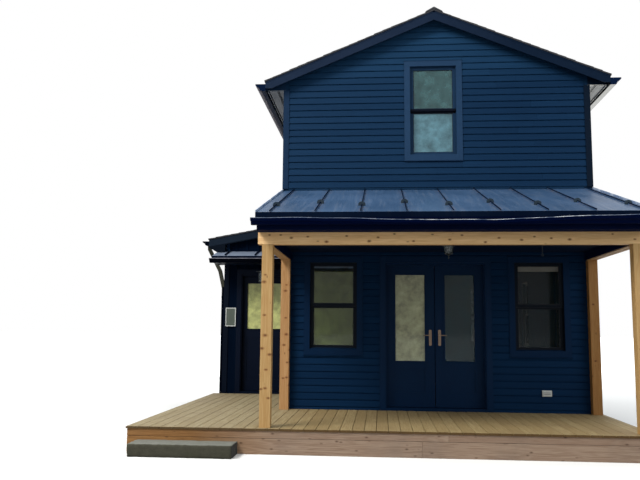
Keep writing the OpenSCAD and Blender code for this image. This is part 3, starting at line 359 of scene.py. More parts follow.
def paint(name, dark, light, boards=True, roughness=0.62, grain_depth=0.0006, specular=0.05, places=()):
    """Dark stain or paint on wood: faint streaks along each board, tone from board to board, soft wear.

    places holds (mask, dark, light) for parts of the house given another tone: painted shade in some, painted
    light in others.
    """
    look = Look(name)
    clouds = look.noise(0.9, 3.0, 0.6)
    if boards:
        grain = board_grain(look)
        streaks = look.noise(look.scaled(grain, (2.2, 60.0, 60.0)), 5.0, 0.65)
        fine = look.noise(look.scaled(grain, (9.0, 420.0, 420.0)), 3.0, 0.7)
        level = look.weigh(look.tone(), 0.22, streaks, 0.78)
    else:
        streaks = look.noise(14.0, 5.0, 0.65)
        fine = look.noise(160.0, 3.0, 0.7)
        level = look.weigh(clouds, 0.5, streaks, 0.5)
    tone = look.ramp(level, 0.25, 0.75)
    colour = look.mix(look.ramp(clouds, 0.35, 0.75, 0.0, 0.3), look.mix(tone, dark, light), light)
    for mask, darker, lighter in places:
        colour = look.mix(mask(look), colour, look.mix(tone, darker, lighter))
    look.bump(look.weigh(streaks, 0.7, fine, 0.3), grain_depth)
    rough = look.ramp(streaks, 0.3, 0.7, roughness - 0.08, roughness + 0.1)
    return look.finish(colour, rough, 0.0, specular)


def timber(name, pale, deep, knot, source=board_grain, knots=(6.0, 13.0, 13.0), knot_size=0.18,
           tone_share=0.35, roughness=0.6, worn=None, tints=(), marked_knots=()):
    """New softwood: growth lines along the board, knots with a dark rim, tone from board to board.

    tints holds (mask, factor) for places of another tone, some of them painted shade; marked_knots holds X, Z
    and half height of knots that stand out in the photograph.
    """
    look = Look(name)
    grain = source(look)
    warp = look.noise(look.scaled(grain, (1.0, 5.0, 5.0)), 2.0, 0.5)
    lines = look.noise(look.scaled(grain, (1.4, 42.0, 42.0)), 4.0, 0.6, 0.4)
    fine = look.noise(look.scaled(grain, (12.0, 520.0, 520.0)), 2.0, 0.7)
    rings = look.maths("SINE", look.weigh(lines, 26.0, warp, 41.6))
    level = look.weigh(lines, 0.75, look.ramp(rings, -1, 1), 0.25)
    colour = look.mix(look.ramp(level, 0.3, 0.72), pale, deep)
    colour = look.mix(look.ramp(fine, 0.45, 0.75, 0.0, 0.25), colour, deep)
    if source is board_grain:
        colour = look.mix(look.both(look.tone(), tone_share), colour, deep)
    cells = look.node("TexVoronoi", {"Vector": look.scaled(grain, knots), "Scale": 1.0})
    spots = cells.outputs["Distance"]
    colour = look.mix(look.ramp(spots, knot_size * 0.55, knot_size, 0.55, 0.0), colour, knot)
    colour = look.mix(look.ramp(spots, knot_size * 0.2, knot_size * 0.6, 0.85, 0.0), colour, shade(knot, 0.5))
    if marked_knots:
        flat, near = look.place(1.0, 0.0, 1.6), 0.0
        for x, z, size in marked_knots:
            away = look.node("VectorMath", {0: flat, 1: (x, 0.0, 1.6 * z)}, operation="DISTANCE")
            here = look.maths("MULTIPLY_ADD", away.outputs["Value"], -0.37 / size, 1.0)
            near = look.maths("MAXIMUM", near, here)
        ragged = look.maths("MULTIPLY_ADD", look.noise(70.0, 3.0, 0.6), 0.5, -0.25)
        near = look.maths("ADD", near, look.both(ragged, look.ramp(near, 0.05, 0.4)))
        colour = look.mix(look.ramp(near, 0.05, 0.45, 0.0, 0.6), colour, shade(knot, 1.6))
        colour = look.mix(look.ramp(near, 0.45, 0.75, 0.0, 0.9), colour, shade(knot, 0.75))
    if worn:
        dirt = look.noise(1.1, 5.0, 0.65)
        colour = look.mix(look.ramp(dirt, 0.48, 0.72, 0.0, 0.55), colour, worn)
    for mask, factor in tints:
        colour = look.tint(mask(look), colour, factor)
    look.bump(look.weigh(lines, 0.6, fine, 0.4), 0.0008)
    return look.finish(colour, look.ramp(lines, 0.3, 0.7, roughness - 0.06, roughness + 0.12), 0.0, 0.2)


def sheet_metal(name, dark, light, roughness=0.4, metallic=0.0, wave=0.001, dust=(0.3, 0.3, 0.29),
                specular=0.3, dusty=0.16, right=None, seams=False):
    """Painted sheet metal: slow waves, faint runs of dust and small scuffs.

    right is its colour on the house's right side, where it differs as painted light; seams says that it has
    the porch roof's standing seams, beside which dirt gathers.
    """
    look = Look(name)
    slow = look.noise(look.place(1.6, 0.9, 1.6), 2.0, 0.5)
    runs = look.noise(look.place(22.0, 1.2, 1.2), 4.0, 0.65)
    specks = look.noise(90.0, 4.0, 0.7)
    colour = look.mix(look.ramp(slow, 0.3, 0.7), dark, light)
    if right:
        colour = look.mix(look.above(look.axes["X"], 0.0), colour, right)
    if seams:
        turns = look.maths("DIVIDE", look.maths("SUBTRACT", look.axes["X"], SEAM_SHIFT), SEAM_PITCH)
        off = look.maths("ABSOLUTE", look.maths("SUBTRACT", turns, look.maths("ROUND", turns)))
        patches = look.ramp(look.noise(look.place(26.0, 9.0, 9.0), 5.0, 0.7), 0.5, 0.62)
        dirt = look.both(look.ramp(off, 0.02, 0.16, 0.45, 0.0), patches)
        colour = look.mix(dirt, colour, (0.2, 0.17, 0.19))
    colour = look.mix(look.ramp(runs, 0.52, 0.8, 0.0, dusty), colour, dust)
    colour = look.mix(look.ramp(specks, 0.62, 0.8, 0.0, dusty * 1.5), colour, dust)
    look.bump(look.weigh(slow, 1.0, specks, 0.02), wave)
    rough = look.ramp(runs, 0.3, 0.8, roughness - 0.06, roughness + 0.16)
    return look.finish(colour, rough, metallic, specular)


def highlit_metal(name, coat, bare, scale, middle=None):
    """A coat with pale patches of painted highlight here and there; with middle, most of all near that X."""
    look = Look(name)
    # bare is the colour of the painted highlight
    highlight_share = look.ramp(look.noise(scale, 5.0, 0.7), 0.44, 0.66)
    if middle is not None:
        away = look.maths("ABSOLUTE", look.maths("SUBTRACT", look.axes["X"], middle))
        highlight_share = look.both(highlight_share, look.ramp(away, 0.9, 1.7, 1.0, 0.2))
    return look.finish(look.mix(highlight_share, coat, bare), 0.45, 0.2, 0.3)


def gutter_metal(name):
    """Dark gutters: glossy at the main eaves, matt on the lower roofs.

    Paler are the downspout's bends, as painted light, and the right main gutter's underside and the left
    one's outer side, as painted reflections; on the lean-to they are darker, as painted shade.
    """
    look = Look(name)
    slow = look.noise(look.place(1.6, 0.9, 1.6), 2.0, 0.5)
    specks = look.noise(60.0, 4.0, 0.7)
    under = look.below(look.facing["Z"], -0.95)
    outer_x, upper_z = 2.672, 5.0
    spout_bends = zone(y=(LEAN_Y + 0.02, None), z=(2.25, 3.013))(look)
    right_under = look.both(under, zone(x=(2.5, None), z=(upper_z, None))(look))
    left_side = zone(x=(None, -outer_x), z=(upper_z, None))(look)
    left_side = look.both(left_side, look.above(look.facing["Y"], -0.5))
    colour = look.mix(specks, (0.0015, 0.006, 0.022), (0.005, 0.013, 0.04))
    # painted shade on the lean-to, painted light on the spout's bends, painted reflections under the right
    # gutter and on the left one's outer side
    for mask, coat in ((on_leanto(look), (0.0012, 0.0022, 0.006)), (spout_bends, (0.045, 0.046, 0.036)),
                       (porch_gutter(look), (0.0006, 0.0026, 0.017)), (right_under, (0.19, 0.185, 0.17)),
                       (left_side, (0.23, 0.215, 0.245))):
        colour = look.mix(mask, colour, coat)
    left_under = look.both(under, zone(x=(-outer_x, 0.0))(look))
    matt = look.maths("MAXIMUM", look.below(look.axes["Z"], upper_z), left_under)
    rough = look.maths("MAXIMUM", look.ramp(matt, 0.0, 1.0, 0.24, 0.75), look.both(left_side, 0.75))
    look.bump(look.weigh(slow, 1.0, specks, 0.02), 0.002)
    return look.finish(colour, rough, look.maths("SUBTRACT", 1.0, left_side), 0.05)


def mineral(name, dark, light, grain, depth, roughness=0.9, patch=None, front=None):
    """Stone, concrete or fabric: clouds, coarse grains and fine speckles.

    patch is the colour of its spots; front is a painted shade on its face toward -Y, and its +X end gets a
    darker painted shade still.
    """
    look = Look(name)
    clouds = look.noise(1.7, 5.0, 0.6)
    coarse = look.noise(grain * 0.12, 5.0, 0.65)
    level = look.weigh(coarse, 0.5, look.noise(grain, 2.0, 0.7), 0.5)
    colour = look.mix(look.ramp(level, 0.32, 0.68), dark, light)
    colour = look.mix(look.ramp(clouds, 0.35, 0.7, 0.0, 0.4), colour, dark)
    if patch:
        spots = look.noise(5.0, 6.0, 0.7)
        colour = look.mix(look.ramp(spots, 0.55, 0.68, 0.0, 0.5), colour, patch)
    # painted shade: darker on the face toward -Y, darker still on the +X end
    if front:
        colour = look.tint(look.ramp(look.facing["Y"], -0.8, -0.4, 1.0, 0.0), colour, front)
        colour = look.tint(look.ramp(look.facing["X"], 0.5, 0.8), colour, (0.14, 0.14, 0.15))
    look.bump(level, depth)
    return look.finish(colour, roughness, 0.0, 0.3)


def shingle_look(name):
    """Black asphalt granules, with a tone of its own for each tab."""
    look = Look(name)
    specks = look.noise(330.0, 2.0, 0.8)
    clouds = look.noise(0.8, 4.0, 0.6)
    base = look.mix(look.tone(), (0.013, 0.014, 0.018), (0.046, 0.048, 0.055))
    colour = look.mix(look.ramp(specks, 0.42, 0.74, 0.0, 0.8), base, (0.12, 0.12, 0.13))
    colour = look.mix(look.ramp(clouds, 0.4, 0.75, 0.0, 0.35), colour, (0.015, 0.016, 0.02))
    look.bump(specks, 0.0016)
    return look.finish(colour, 0.93, 0.0, 0.25)


def pane(name, tint, cover, ior=1.4, clouds=0.03, places=()):
    """A clear pane with a tint, clouded here and there, and the tint's share of the light; on the windows and
    doors the tint is a painted reflection.

    places holds (mask, tint, cover) for panes with another tint, each a painted reflection.
    """
    look = Look(name)
    tint_clouds = look.noise(6.0, 5.0, 0.65)
    smear = look.noise(2.4, 3.0, 0.6)
    for mask, other_tint, other_cover in places:
        here = mask(look)
        tint = look.mix(here, tint, other_tint)
        cover = look.choose(here, cover, other_cover)
    colour = look.mix(1.0, tint, look.ramp(tint_clouds, 0.3, 0.7, 0.55, 1.5), "MULTIPLY")
    look.put(look.surface.inputs["Alpha"], cover)
    look.put(look.surface.inputs["IOR"], ior)
    return look.finish(colour, look.ramp(smear, 0.4, 0.8, 0.03, 0.03 + clouds), 0.0, 0.5)


# The cabin's materials: those of the slots, then those of single pieces

NAVY, NAVY_LIGHT = (0.0028, 0.0172, 0.0465), (0.0062, 0.029, 0.072)
# the lean-to's colours, far darker than the house's: painted shade
LEAN_SHADED_NAVY, LEAN_SHADED_NAVY_LIGHT = (0.0006, 0.003, 0.01), (0.0014, 0.0058, 0.017)
TRIM, TRIM_LIGHT = (0.0045, 0.017, 0.044), (0.0085, 0.027, 0.065)
# trim painted darker at the right corner, under the porch and on the lean-to, as painted shade, and lighter
# round the gable window, as painted light
TRIM_PLACES = (
    (right_corner, (0.001, 0.0048, 0.0125), (0.002, 0.0075, 0.0185)),
    (round_gable_window, (0.011, 0.032, 0.074), (0.017, 0.046, 0.098)),
    (under_porch, (0.001, 0.01, 0.034), (0.0022, 0.017, 0.052)),
    (on_leanto, (0.0004, 0.0022, 0.0075), (0.001, 0.0042, 0.0125)))
# frames painted lighter at the gable window, as painted light, and darker on its meeting rail, under the
# porch and on the lean-to, as painted shade
FRAME_PLACES = (
    (round_gable_window, (0.008, 0.026, 0.06), (0.012, 0.036, 0.08)),
    (meeting_rail, (0.001, 0.002, 0.006), (0.002, 0.004, 0.01)),
    (under_porch_frames, (0.0014, 0.0032, 0.007), (0.0026, 0.0052, 0.0105)),
    (on_leanto, (0.001, 0.002, 0.005), (0.002, 0.0036, 0.008)))
# the panes' tints by place are painted reflections
PANE_PLACES = ((gable_panes, (0.04, 0.095, 0.1), 0.8), (low_gable_pane, (0.09, 0.195, 0.235), 0.85),
               (left_panes(), (0.085, 0.115, 0.036), 0.75), (right_panes, (0.006, 0.018, 0.024), 0.22),
               # painted darker before the blind's rail and paler before its fabric
               (left_panes(2.352), (0.01, 0.022, 0.034), 0.75),
               (left_panes(2.4), (0.095, 0.135, 0.195), 0.75))
KNOT = (0.17, 0.072, 0.024)
BEAM_KNOTS = (
    (-2.193, 2.626, 0.009), (-2.054, 2.626, 0.009), (-1.922, 2.59, 0.012), (-1.718, 2.605, 0.01),
    (-1.487, 2.542, 0.014), (-1.24, 2.612, 0.01), (-0.965, 2.549, 0.013), (-0.857, 2.595, 0.01),
    (-0.659, 2.636, 0.009), (-0.429, 2.548, 0.01), (0.006, 2.566, 0.011), (0.153, 2.619, 0.01),
    (0.43, 2.535, 0.011), (0.592, 2.586, 0.01), (0.858, 2.562, 0.012), (1.009, 2.601, 0.009),
    (1.207, 2.581, 0.01), (1.421, 2.566, 0.013), (1.92, 2.63, 0.008), (2.174, 2.567, 0.01))
POST_KNOTS = (
    (-2.25, 2.047, 0.017), (-2.227, 1.398, 0.018), (-2.169, 1.168, 0.016), (-2.216, 0.766, 0.014),
    (-2.176, 0.65, 0.013), (-2.236, 2.135, 0.011), (-2.239, 1.643, 0.013), (-2.262, 1.241, 0.016),
    (-2.209, 0.986, 0.013), (-2.268, 0.755, 0.013), (2.238, 1.87, 0.012), (2.243, 1.06, 0.012))
FEW_KNOTS = {"knots": (5.0, 11.0, 11.0), "knot_size": 0.13}

SLOT_LOOKS = {
    "concrete": mineral("concrete", (0.36, 0.36, 0.345), (0.56, 0.56, 0.54), 170.0, 0.003),
    "floor_wood": timber(
        "floor_wood", (0.4, 0.27, 0.15), (0.3, 0.18, 0.09), (0.12, 0.06, 0.03), along_x, roughness=0.45),
    "siding": paint("wall_paint", NAVY, NAVY_LIGHT, boards=False),
    "trim": paint("trim_paint", TRIM, TRIM_LIGHT, boards=False, roughness=0.5, places=TRIM_PLACES),
    "shingles": shingle_look("asphalt_shingles"),
    # soffit panels: dark on the left as painted shade, near white on the right as painted light
    "soffit": sheet_metal(
        "soffit_panel", (0.15, 0.17, 0.2), (0.2, 0.22, 0.26), 0.5, dust=(0.36, 0.35, 0.33),
        right=(0.9, 0.88, 0.83)),
    "ceiling": paint("ceiling_paint", (0.001, 0.0035, 0.012), (0.0022, 0.0065, 0.02)),
    "gutter": gutter_metal("gutter_metal"),
    # the porch roof's blue: the dark metal's colour with a painted reflection of the sky
    "roof_metal": sheet_metal(
        "standing_seam_metal", (0.026, 0.066, 0.14), (0.056, 0.112, 0.215), 0.42, 0.2, 0.006, seams=True),
    "guard_metal": sheet_metal(
        "snow_guard_metal", (0.008, 0.018, 0.03), (0.02, 0.036, 0.052), 0.45, 0.1, dusty=0.06,
        specular=0.15),
    # the right wall post's darker tint is painted shade
    "timber": timber(
        "post_wood", (0.5, 0.325, 0.14), (0.4, 0.225, 0.08), KNOT, post_grain, **FEW_KNOTS,
        tints=((wall_posts, (1.0, 0.9, 0.95)), (right_wall_post, (0.6, 0.52, 0.36))),
        marked_knots=POST_KNOTS),
    "decking": timber(
        "deck_wood", (0.37, 0.315, 0.195), (0.25, 0.195, 0.105), (0.12, 0.07, 0.03), knots=(3.0, 8.0, 8.0),
        knot_size=0.1, tone_share=0.7, roughness=0.68, worn=(0.21, 0.16, 0.1),
        tints=((deck_before_the_doors, (0.95, 0.86, 0.7)), (board_ends, (0.34, 0.26, 0.19)))),
    "skirt_wood": timber("joist_wood", (0.45, 0.32, 0.18), (0.36, 0.23, 0.12), (0.15, 0.08, 0.04), along_x),
    "step_stone": mineral(
        "step_stone", (0.11, 0.115, 0.095), (0.24, 0.245, 0.215), 120.0, 0.006, 0.85,
        patch=(0.15, 0.165, 0.11), front=(0.3, 0.28, 0.22)),
    "window_black": paint(
        "window_frame", (0.006, 0.015, 0.03), (0.011, 0.024, 0.046), boards=False, roughness=0.38,
        grain_depth=0.0002, places=FRAME_PLACES),
    "glass": pane("window_panes", (0.04, 0.07, 0.078), 0.85, places=PANE_PLACES),
    "blind": mineral("blind_fabric", (0.6, 0.59, 0.54), (0.72, 0.71, 0.66), 300.0, 0.0006, 0.8),
    # the door on the lean-to is painted far darker: painted shade
    "door_paint": paint(
        "door_paint", (0.0014, 0.011, 0.037), (0.003, 0.0175, 0.053), boards=False, roughness=0.45,
        grain_depth=0.0003, places=((on_leanto, (0.0008, 0.0028, 0.0095), (0.0016, 0.005, 0.016)),)),
    "handle_bronze": sheet_metal(
        "aged_bronze", (0.13, 0.09, 0.062), (0.2, 0.14, 0.1), 0.38, 0.55, dust=(0.12, 0.07, 0.04)),
    "lantern_metal": sheet_metal("lantern_metal", (0.02, 0.024, 0.026), (0.036, 0.042, 0.045), 0.4, 0.3),
    "lantern_glass": pane("lantern_panes", (0.09, 0.12, 0.125), 0.4, 1.45, 0.15),
    "plate_metal": sheet_metal("plate_metal", (0.46, 0.48, 0.47), (0.54, 0.56, 0.54), 0.4, 0.1, 0.0006),
}
NODE_LOOKS = {
    # the beams' pale colour, well above the posts' wood, is painted light; the darker right end and side
    # beams are painted shade
    "porch_beams": timber(
        "beam_wood", (0.92, 0.61, 0.31), (0.76, 0.46, 0.205), KNOT, beam_grain, **FEW_KNOTS,
        tints=((right_beam, (0.8, 0.8, 0.78)), (side_beams, (0.5, 0.46, 0.44))),
        marked_knots=BEAM_KNOTS),
    # the rakes are painted darker right of the ridge, and the boards under the lean-to's rakes darker still:
    # painted shade
    "rakes": paint(
        "rake_paint", (0.0072, 0.0148, 0.033), (0.013, 0.024, 0.05), boards=False, roughness=0.55,
        specular=0.02,
        places=(
            (right_of_the_ridge, (0.003, 0.0085, 0.0215), (0.006, 0.0145, 0.033)),
            (on_leanto, (0.007, 0.013, 0.023), (0.012, 0.02, 0.034)),
            (under_lean_rake, (0.002, 0.0042, 0.0085), (0.0038, 0.007, 0.013)))),
    # the porch's fascia and trim are painted near black: painted shade
    "porch_trim": paint(
        "porch_trim_paint", (0.0008, 0.0028, 0.015), (0.0016, 0.005, 0.025), boards=False,
        specular=0.01),
    # the pent roof's pale blue is a painted reflection of the sky
    "pent_roof": sheet_metal("pent_metal", (0.185, 0.23, 0.32), (0.26, 0.315, 0.41), 0.42, 0.2, 0.006),
    # the door panes' tints are painted reflections
    "french_glass_left": pane("left_door_pane", (0.36, 0.385, 0.23), 0.9),
    "french_glass_right": pane("right_door_pane", (0.018, 0.06, 0.075), 0.38),
    "side_door_glass": pane("side_door_pane", (0.52, 0.54, 0.2), 0.9),
}
# the siding is painted darker right of the ridge, as painted shade, and lighter near the ridge, as painted
# light
siding_look = paint(
    "siding_paint", NAVY, NAVY_LIGHT,
    places=(
        (right_of_the_ridge, (0.0021, 0.015, 0.043), (0.0048, 0.0255, 0.066)),
        (near_the_ridge, (0.006, 0.029, 0.07), (0.0105, 0.045, 0.103))))
# the siding under the porch roof is painted darker than the rest: painted shade
porch_siding_shade_look = paint("porch_siding_painted_shade", (0.001, 0.0125, 0.04), (0.0024, 0.0215, 0.064))
# the lean-to's boards in those far darker colours: painted shade
lean_siding_shade_look = paint("leanto_siding_painted_shade", LEAN_SHADED_NAVY, LEAN_SHADED_NAVY_LIGHT, specular=0.01)
trim_board_look = paint("trim_board_paint", TRIM, TRIM_LIGHT, roughness=0.5, places=TRIM_PLACES)
skirt_look = timber(
    "skirt_wood", (0.37, 0.27, 0.195), (0.24, 0.155, 0.105), (0.1, 0.048, 0.03), tone_share=0.6,
    roughness=0.65, worn=(0.19, 0.145, 0.115), tints=((left_skirt, (0.86, 0.6, 0.29)),))
# the verges and gutter lips: a coat with pale patches of painted highlight
verge_highlight_look = highlit_metal("porch_verges", (0.22, 0.3, 0.45), (0.66, 0.72, 0.8), 2.6)
lip_highlight_look = highlit_metal("gutter_lip_highlight", (0.075, 0.105, 0.17), (0.78, 0.8, 0.84), 4.0, 0.5)
pent_lip_highlight_look = highlit_metal("pent_gutter_lip", (0.15, 0.15, 0.18), (0.34, 0.34, 0.39), 5.0)
apron_look = sheet_metal(
    "wall_apron", (0.004, 0.02, 0.05), (0.0075, 0.029, 0.068), 0.5, specular=0.03, dusty=0.02)
# dark metal of the eave folds, and the black on the seams' tops, which is painted shade
flashing_and_seam_shade_look = sheet_metal(
    "dark_flashing_and_seam_shade", (0.001, 0.004, 0.015), (0.003, 0.008, 0.022), 0.6, wave=0.002, specular=0.01,
    dusty=0.01)
black_look = sheet_metal(
    "black_metal", (0.004, 0.005, 0.008), (0.008, 0.01, 0.015), 0.5, specular=0.15, dusty=0.05)
# near-black strips in the soffit's vent slots and at its lip: painted shade
vent_shade_look = sheet_metal(
    "soffit_vent", (0.006, 0.008, 0.012), (0.01, 0.013, 0.018), 0.6, dusty=0.02, specular=0.1)
face_look = sheet_metal("sign_face", (0.05, 0.068, 0.058), (0.085, 0.105, 0.085), 0.5, wave=0.0006)
screw_look = sheet_metal("screw_heads", (0.19, 0.17, 0.14), (0.26, 0.24, 0.2), 0.45, 0.5, 0.0004)
bulb_look = mineral("lamp_bulb", (0.75, 0.73, 0.66), (0.85, 0.83, 0.76), 80.0, 0.0001, 0.3)

SOFT_EDGES = {
    "porch_beams": 0.004, "porch_posts": 0.005, "wall_trim": 0.002, "rakes": 0.002, "eave_fascias": 0.002,
    "window_frames": 0.0015, "door_frames": 0.002, "french_door_left": 0.002, "french_door_right": 0.002,
    "side_door": 0.002, "french_handle_left": 0.0012, "french_handle_right": 0.0012,
    "side_door_handle": 0.0012, "wall_plates": 0.002, "snow_guards": 0.001, "porch_trim": 0.002,
}


def soften(piece, width, segments, degrees):
    edge = piece.modifiers.new("edge", "BEVEL")
    edge.width = width
    edge.segments = segments
    edge.limit_method = "ANGLE"
    edge.angle_limit = math.radians(degrees)


def dress_nodes():
    """Gives every CAD node its material, and the sawn and planed ones a softened edge."""
    for part in frame["record"]["subparts"]:
        node = frame["nodes"][part["node"]]
        node.data.materials.clear()
        node.data.materials.append(NODE_LOOKS.get(node.name) or SLOT_LOOKS[part["material_slot"]])
        if node.name in SOFT_EDGES:
            soften(node, SOFT_EDGES[node.name], 2, 50)


dress_nodes()


# Meshes built from many small solids

def closed_mesh(name, points, faces):
    """A mesh whose faces all look outward."""
    data = bpy.data.meshes.new(name)
    data.from_pydata(points, [], faces)
    work = bmesh.new()
    work.from_mesh(data)
    bmesh.ops.recalc_face_normals(work, faces=work.faces)
    work.to_mesh(data)
    work.free()
    return data


def add_piece(name, data, slot, look=None, body="house"):
    """Puts a mesh into the scene as one piece of a body, with the slot's material unless it has its own."""
    data.materials.append(look or SLOT_LOOKS[slot])
    piece = bpy.data.objects.new(name, data)
    bpy.context.scene.collection.objects.link(piece)
    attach(piece, body)
    return piece


def rect(b0, b1, c0, c1):
    return [(b0, c0), (b1, c0), (b1, c1), (b0, c1)]


def shifted(outline, b, c):
    return [(b + p, c + q) for p, q in outline]


# frames of bars that run along an axis; the outline's pairs are the other two, in their order
ALONG = {"x": lambda a, b, c: (a, b, c), "y": lambda a, b, c: (b, a, c), "z": lambda a, b, c: (b, c, a)}


class Pile:
    """Collects small solids into one mesh, with each board's own length direction, place and tone."""

    def __init__(self):
        self.points = []
        self.faces = []
        self.grain = []
        self.tones = []

    def bar(self, place, outline, starts, ends, tone=None):
        """A bar along a frame's first axis; outline holds its second and third coordinates."""
        n = len(outline)
        starts = starts if isinstance(starts, list) else [starts] * n
        ends = ends if isinstance(ends, list) else [ends] * n
        tone = dice.random() if tone is None else tone
        shift_l, shift_w = dice.uniform(0, 60), dice.uniform(0, 60)
        corners = [(a, b, c) for a, (b, c) in zip(starts + ends, outline * 2)]
        faces = [[i, (i + 1) % n, n + (i + 1) % n, n + i] for i in range(n)]
        faces += [list(range(n))[::-1], list(range(n, 2 * n))]
        first = len(self.points)
        self.points += [place(*p) for p in corners]
        self.grain += [(a + shift_l, c + shift_w, b) for a, b, c in corners]
        self.tones += [tone] * len(corners)
        self.faces += [[first + i for i in f] for f in faces]

    def block(self, x0, x1, y0, y1, z0, z1, along="x"):
        """A box whose grain runs along one axis."""
        spans = {"x": (x0, x1), "y": (y0, y1), "z": (z0, z1)}
        ends = spans.pop(along)
        across, up = spans.values()
        self.bar(ALONG[along], rect(*across, *up), *ends)

    def mesh(self, name, slot, look=None, body="house", bevel=0.0):
        data = closed_mesh(name, self.points, self.faces)
        grain = data.attributes.new("grain", "FLOAT_VECTOR", "POINT")
        grain.data.foreach_set("vector", np.array(self.grain, np.float32).ravel())
        tone = data.attributes.new("tone", "FLOAT", "POINT")
        tone.data.foreach_set("value", np.array(self.tones, np.float32))
        piece = add_piece(name, data, slot, look, body)
        if bevel:
            soften(piece, bevel, 1, 40)
        return piece


# Clapboards

ROW = 0.1027
FIRST_ROW = 3.737 - 36 * ROW
# a clapboard's section: shares of its height, and how far its face stands out there
CLAP_SHARES, CLAP_FACE = [0.0, 0.8, 0.9, 1.0], [0.018, 0.011, 0.002, 0.002]


def clap_outline(row, z0, z1):
    """The part of one clapboard's section that lies between two heights, as (out, z)."""
    bottom = FIRST_ROW + row * ROW
    shares = [s for s in CLAP_SHARES[1:3] if z0 < bottom + s * ROW < z1]
    shares = [(z0 - bottom) / ROW] + shares + [(z1 - bottom) / ROW]
    face = [(float(np.interp(s, CLAP_SHARES, CLAP_FACE)), bottom + s * ROW) for s in shares]
    return [(-0.004, z0)] + face + [(-0.004, z1)]


def free_spans(u0, u1, z0, z1, holes):
    """Cuts a row into (u0, u1, z0, z1) rectangles that miss the holes."""
    cuts = sorted({u0, u1} | {u for h in holes if h[2] < z1 and h[3] > z0 for u in h[:2] if u0 < u < u1})
    for a, b in zip(cuts, cuts[1:]):
        middle = (a + b) / 2
        low, high = z0, z1
        for h in holes:
            if h[0] < middle < h[1] and h[2] < z1 and h[3] > z0:
                if h[2] <= z0 and h[3] >= z1:
                    low = high
                elif h[2] > z0:
                    high = min(high, h[2])
                else:
                    low = max(low, h[3])
        if high - low > 0.004:
            yield a, b, low, high


def board_cuts(u0, u1):
    """Ends of the boards between u0 and u1: two to four metres long, and the last one up to 4.4."""
    ends = [u0]
    while u1 - ends[-1] > 4.4:
        ends.append(ends[-1] + dice.uniform(2.0, 3.9))
    return ends + [u1]


def clapboards(name, place, u0, u1, z0, z1, holes, side_limit=lambda z: math.inf, look=siding_look):
    """Rows of clapboards on one wall; side_limit gives the half width left under a gable at a height."""
    pile = Pile()
    row = math.floor((z0 - FIRST_ROW) / ROW)
    gap = 0.0008
    while FIRST_ROW + row * ROW < z1 - 0.004:
        low, high = max(z0, FIRST_ROW + row * ROW), min(z1, FIRST_ROW + (row + 1) * ROW)
        start, end = max(u0, -side_limit(low)), min(u1, side_limit(low))
        cuts = board_cuts(start, end) if end - start > 0.05 else []
        for a, b in zip(cuts, cuts[1:]):
            tone = dice.random()
            for c, d, bottom, top in free_spans(a, b, low, high, holes):
                outline = clap_outline(row, bottom, top)
                starts = [max(c + gap, -side_limit(z)) for _, z in outline]
                ends = [min(d - gap, side_limit(z)) for _, z in outline]
                if min(e - s for s, e in zip(starts, ends)) > 0.01:
                    pile.bar(place, outline, starts, ends, tone)
        row += 1
    pile.mesh(name, "siding", look)


def gable_limit(z):
    """Half width of the gable wall under the roof boards at a height."""
    return min(HALF_W, (RIDGE_Z - ROOF_DEPTH - z) / SLOPE)


DOOR_CASING_TOP = 2.574
PAIR_HOLE = (-0.843, 0.807, 0.0, DOOR_CASING_TOP)
SIDE_DOOR_HOLE = (-3.4945, -2.3655, 0.0, DOOR_CASING_TOP)
OUTLET_HOLE = (OUTLET_X - 0.068, OUTLET_X + 0.068, OUTLET_Z - 0.043, OUTLET_Z + 0.043)
LEAN_HOLE = (-BACK_Y, -LEAN_Y, 0.0, lean_top(-HALF_W) + 0.02)
CORNER = HALF_W - CORNER_IN
GABLE_TOP = RIDGE_Z - ROOF_DEPTH - 0.02


def holes_of(*windows):
    return [window_hole(*w) for group in windows for w in group]


clapboards("clapboards_porch", on_front, -PORCH_X + POST_W, PORCH_X - POST_W, DECK_Z, CEILING_Z,
           holes_of(FRONT_LOW) + [PAIR_HOLE, OUTLET_HOLE], look=porch_siding_shade_look)
clapboards("clapboards_gable", on_front, -CORNER, CORNER, porch.top(FRONT_Y) + 0.03, GABLE_TOP,
           holes_of(GABLE_UP), gable_limit)
clapboards("clapboards_right", on_right, FRONT_Y + CORNER_IN, BACK_Y - CORNER_IN, WALL_FOOT, SOFFIT_Z,
           holes_of(RIGHT_WINDOWS))
clapboards("clapboards_left", on_left, -BACK_Y + CORNER_IN, -FRONT_Y - CORNER_IN, DECK_Z, SOFFIT_Z,
           holes_of(LEFT_WINDOWS) + [LEAN_HOLE])
clapboards("clapboards_back", on_back, -CORNER, CORNER, WALL_FOOT, GABLE_TOP, holes_of(FRONT_LOW, GABLE_UP),
           gable_limit)


# Boards and battens on the lean-to

BATTEN_PITCH, HALF_BATTEN = 0.203, 0.021


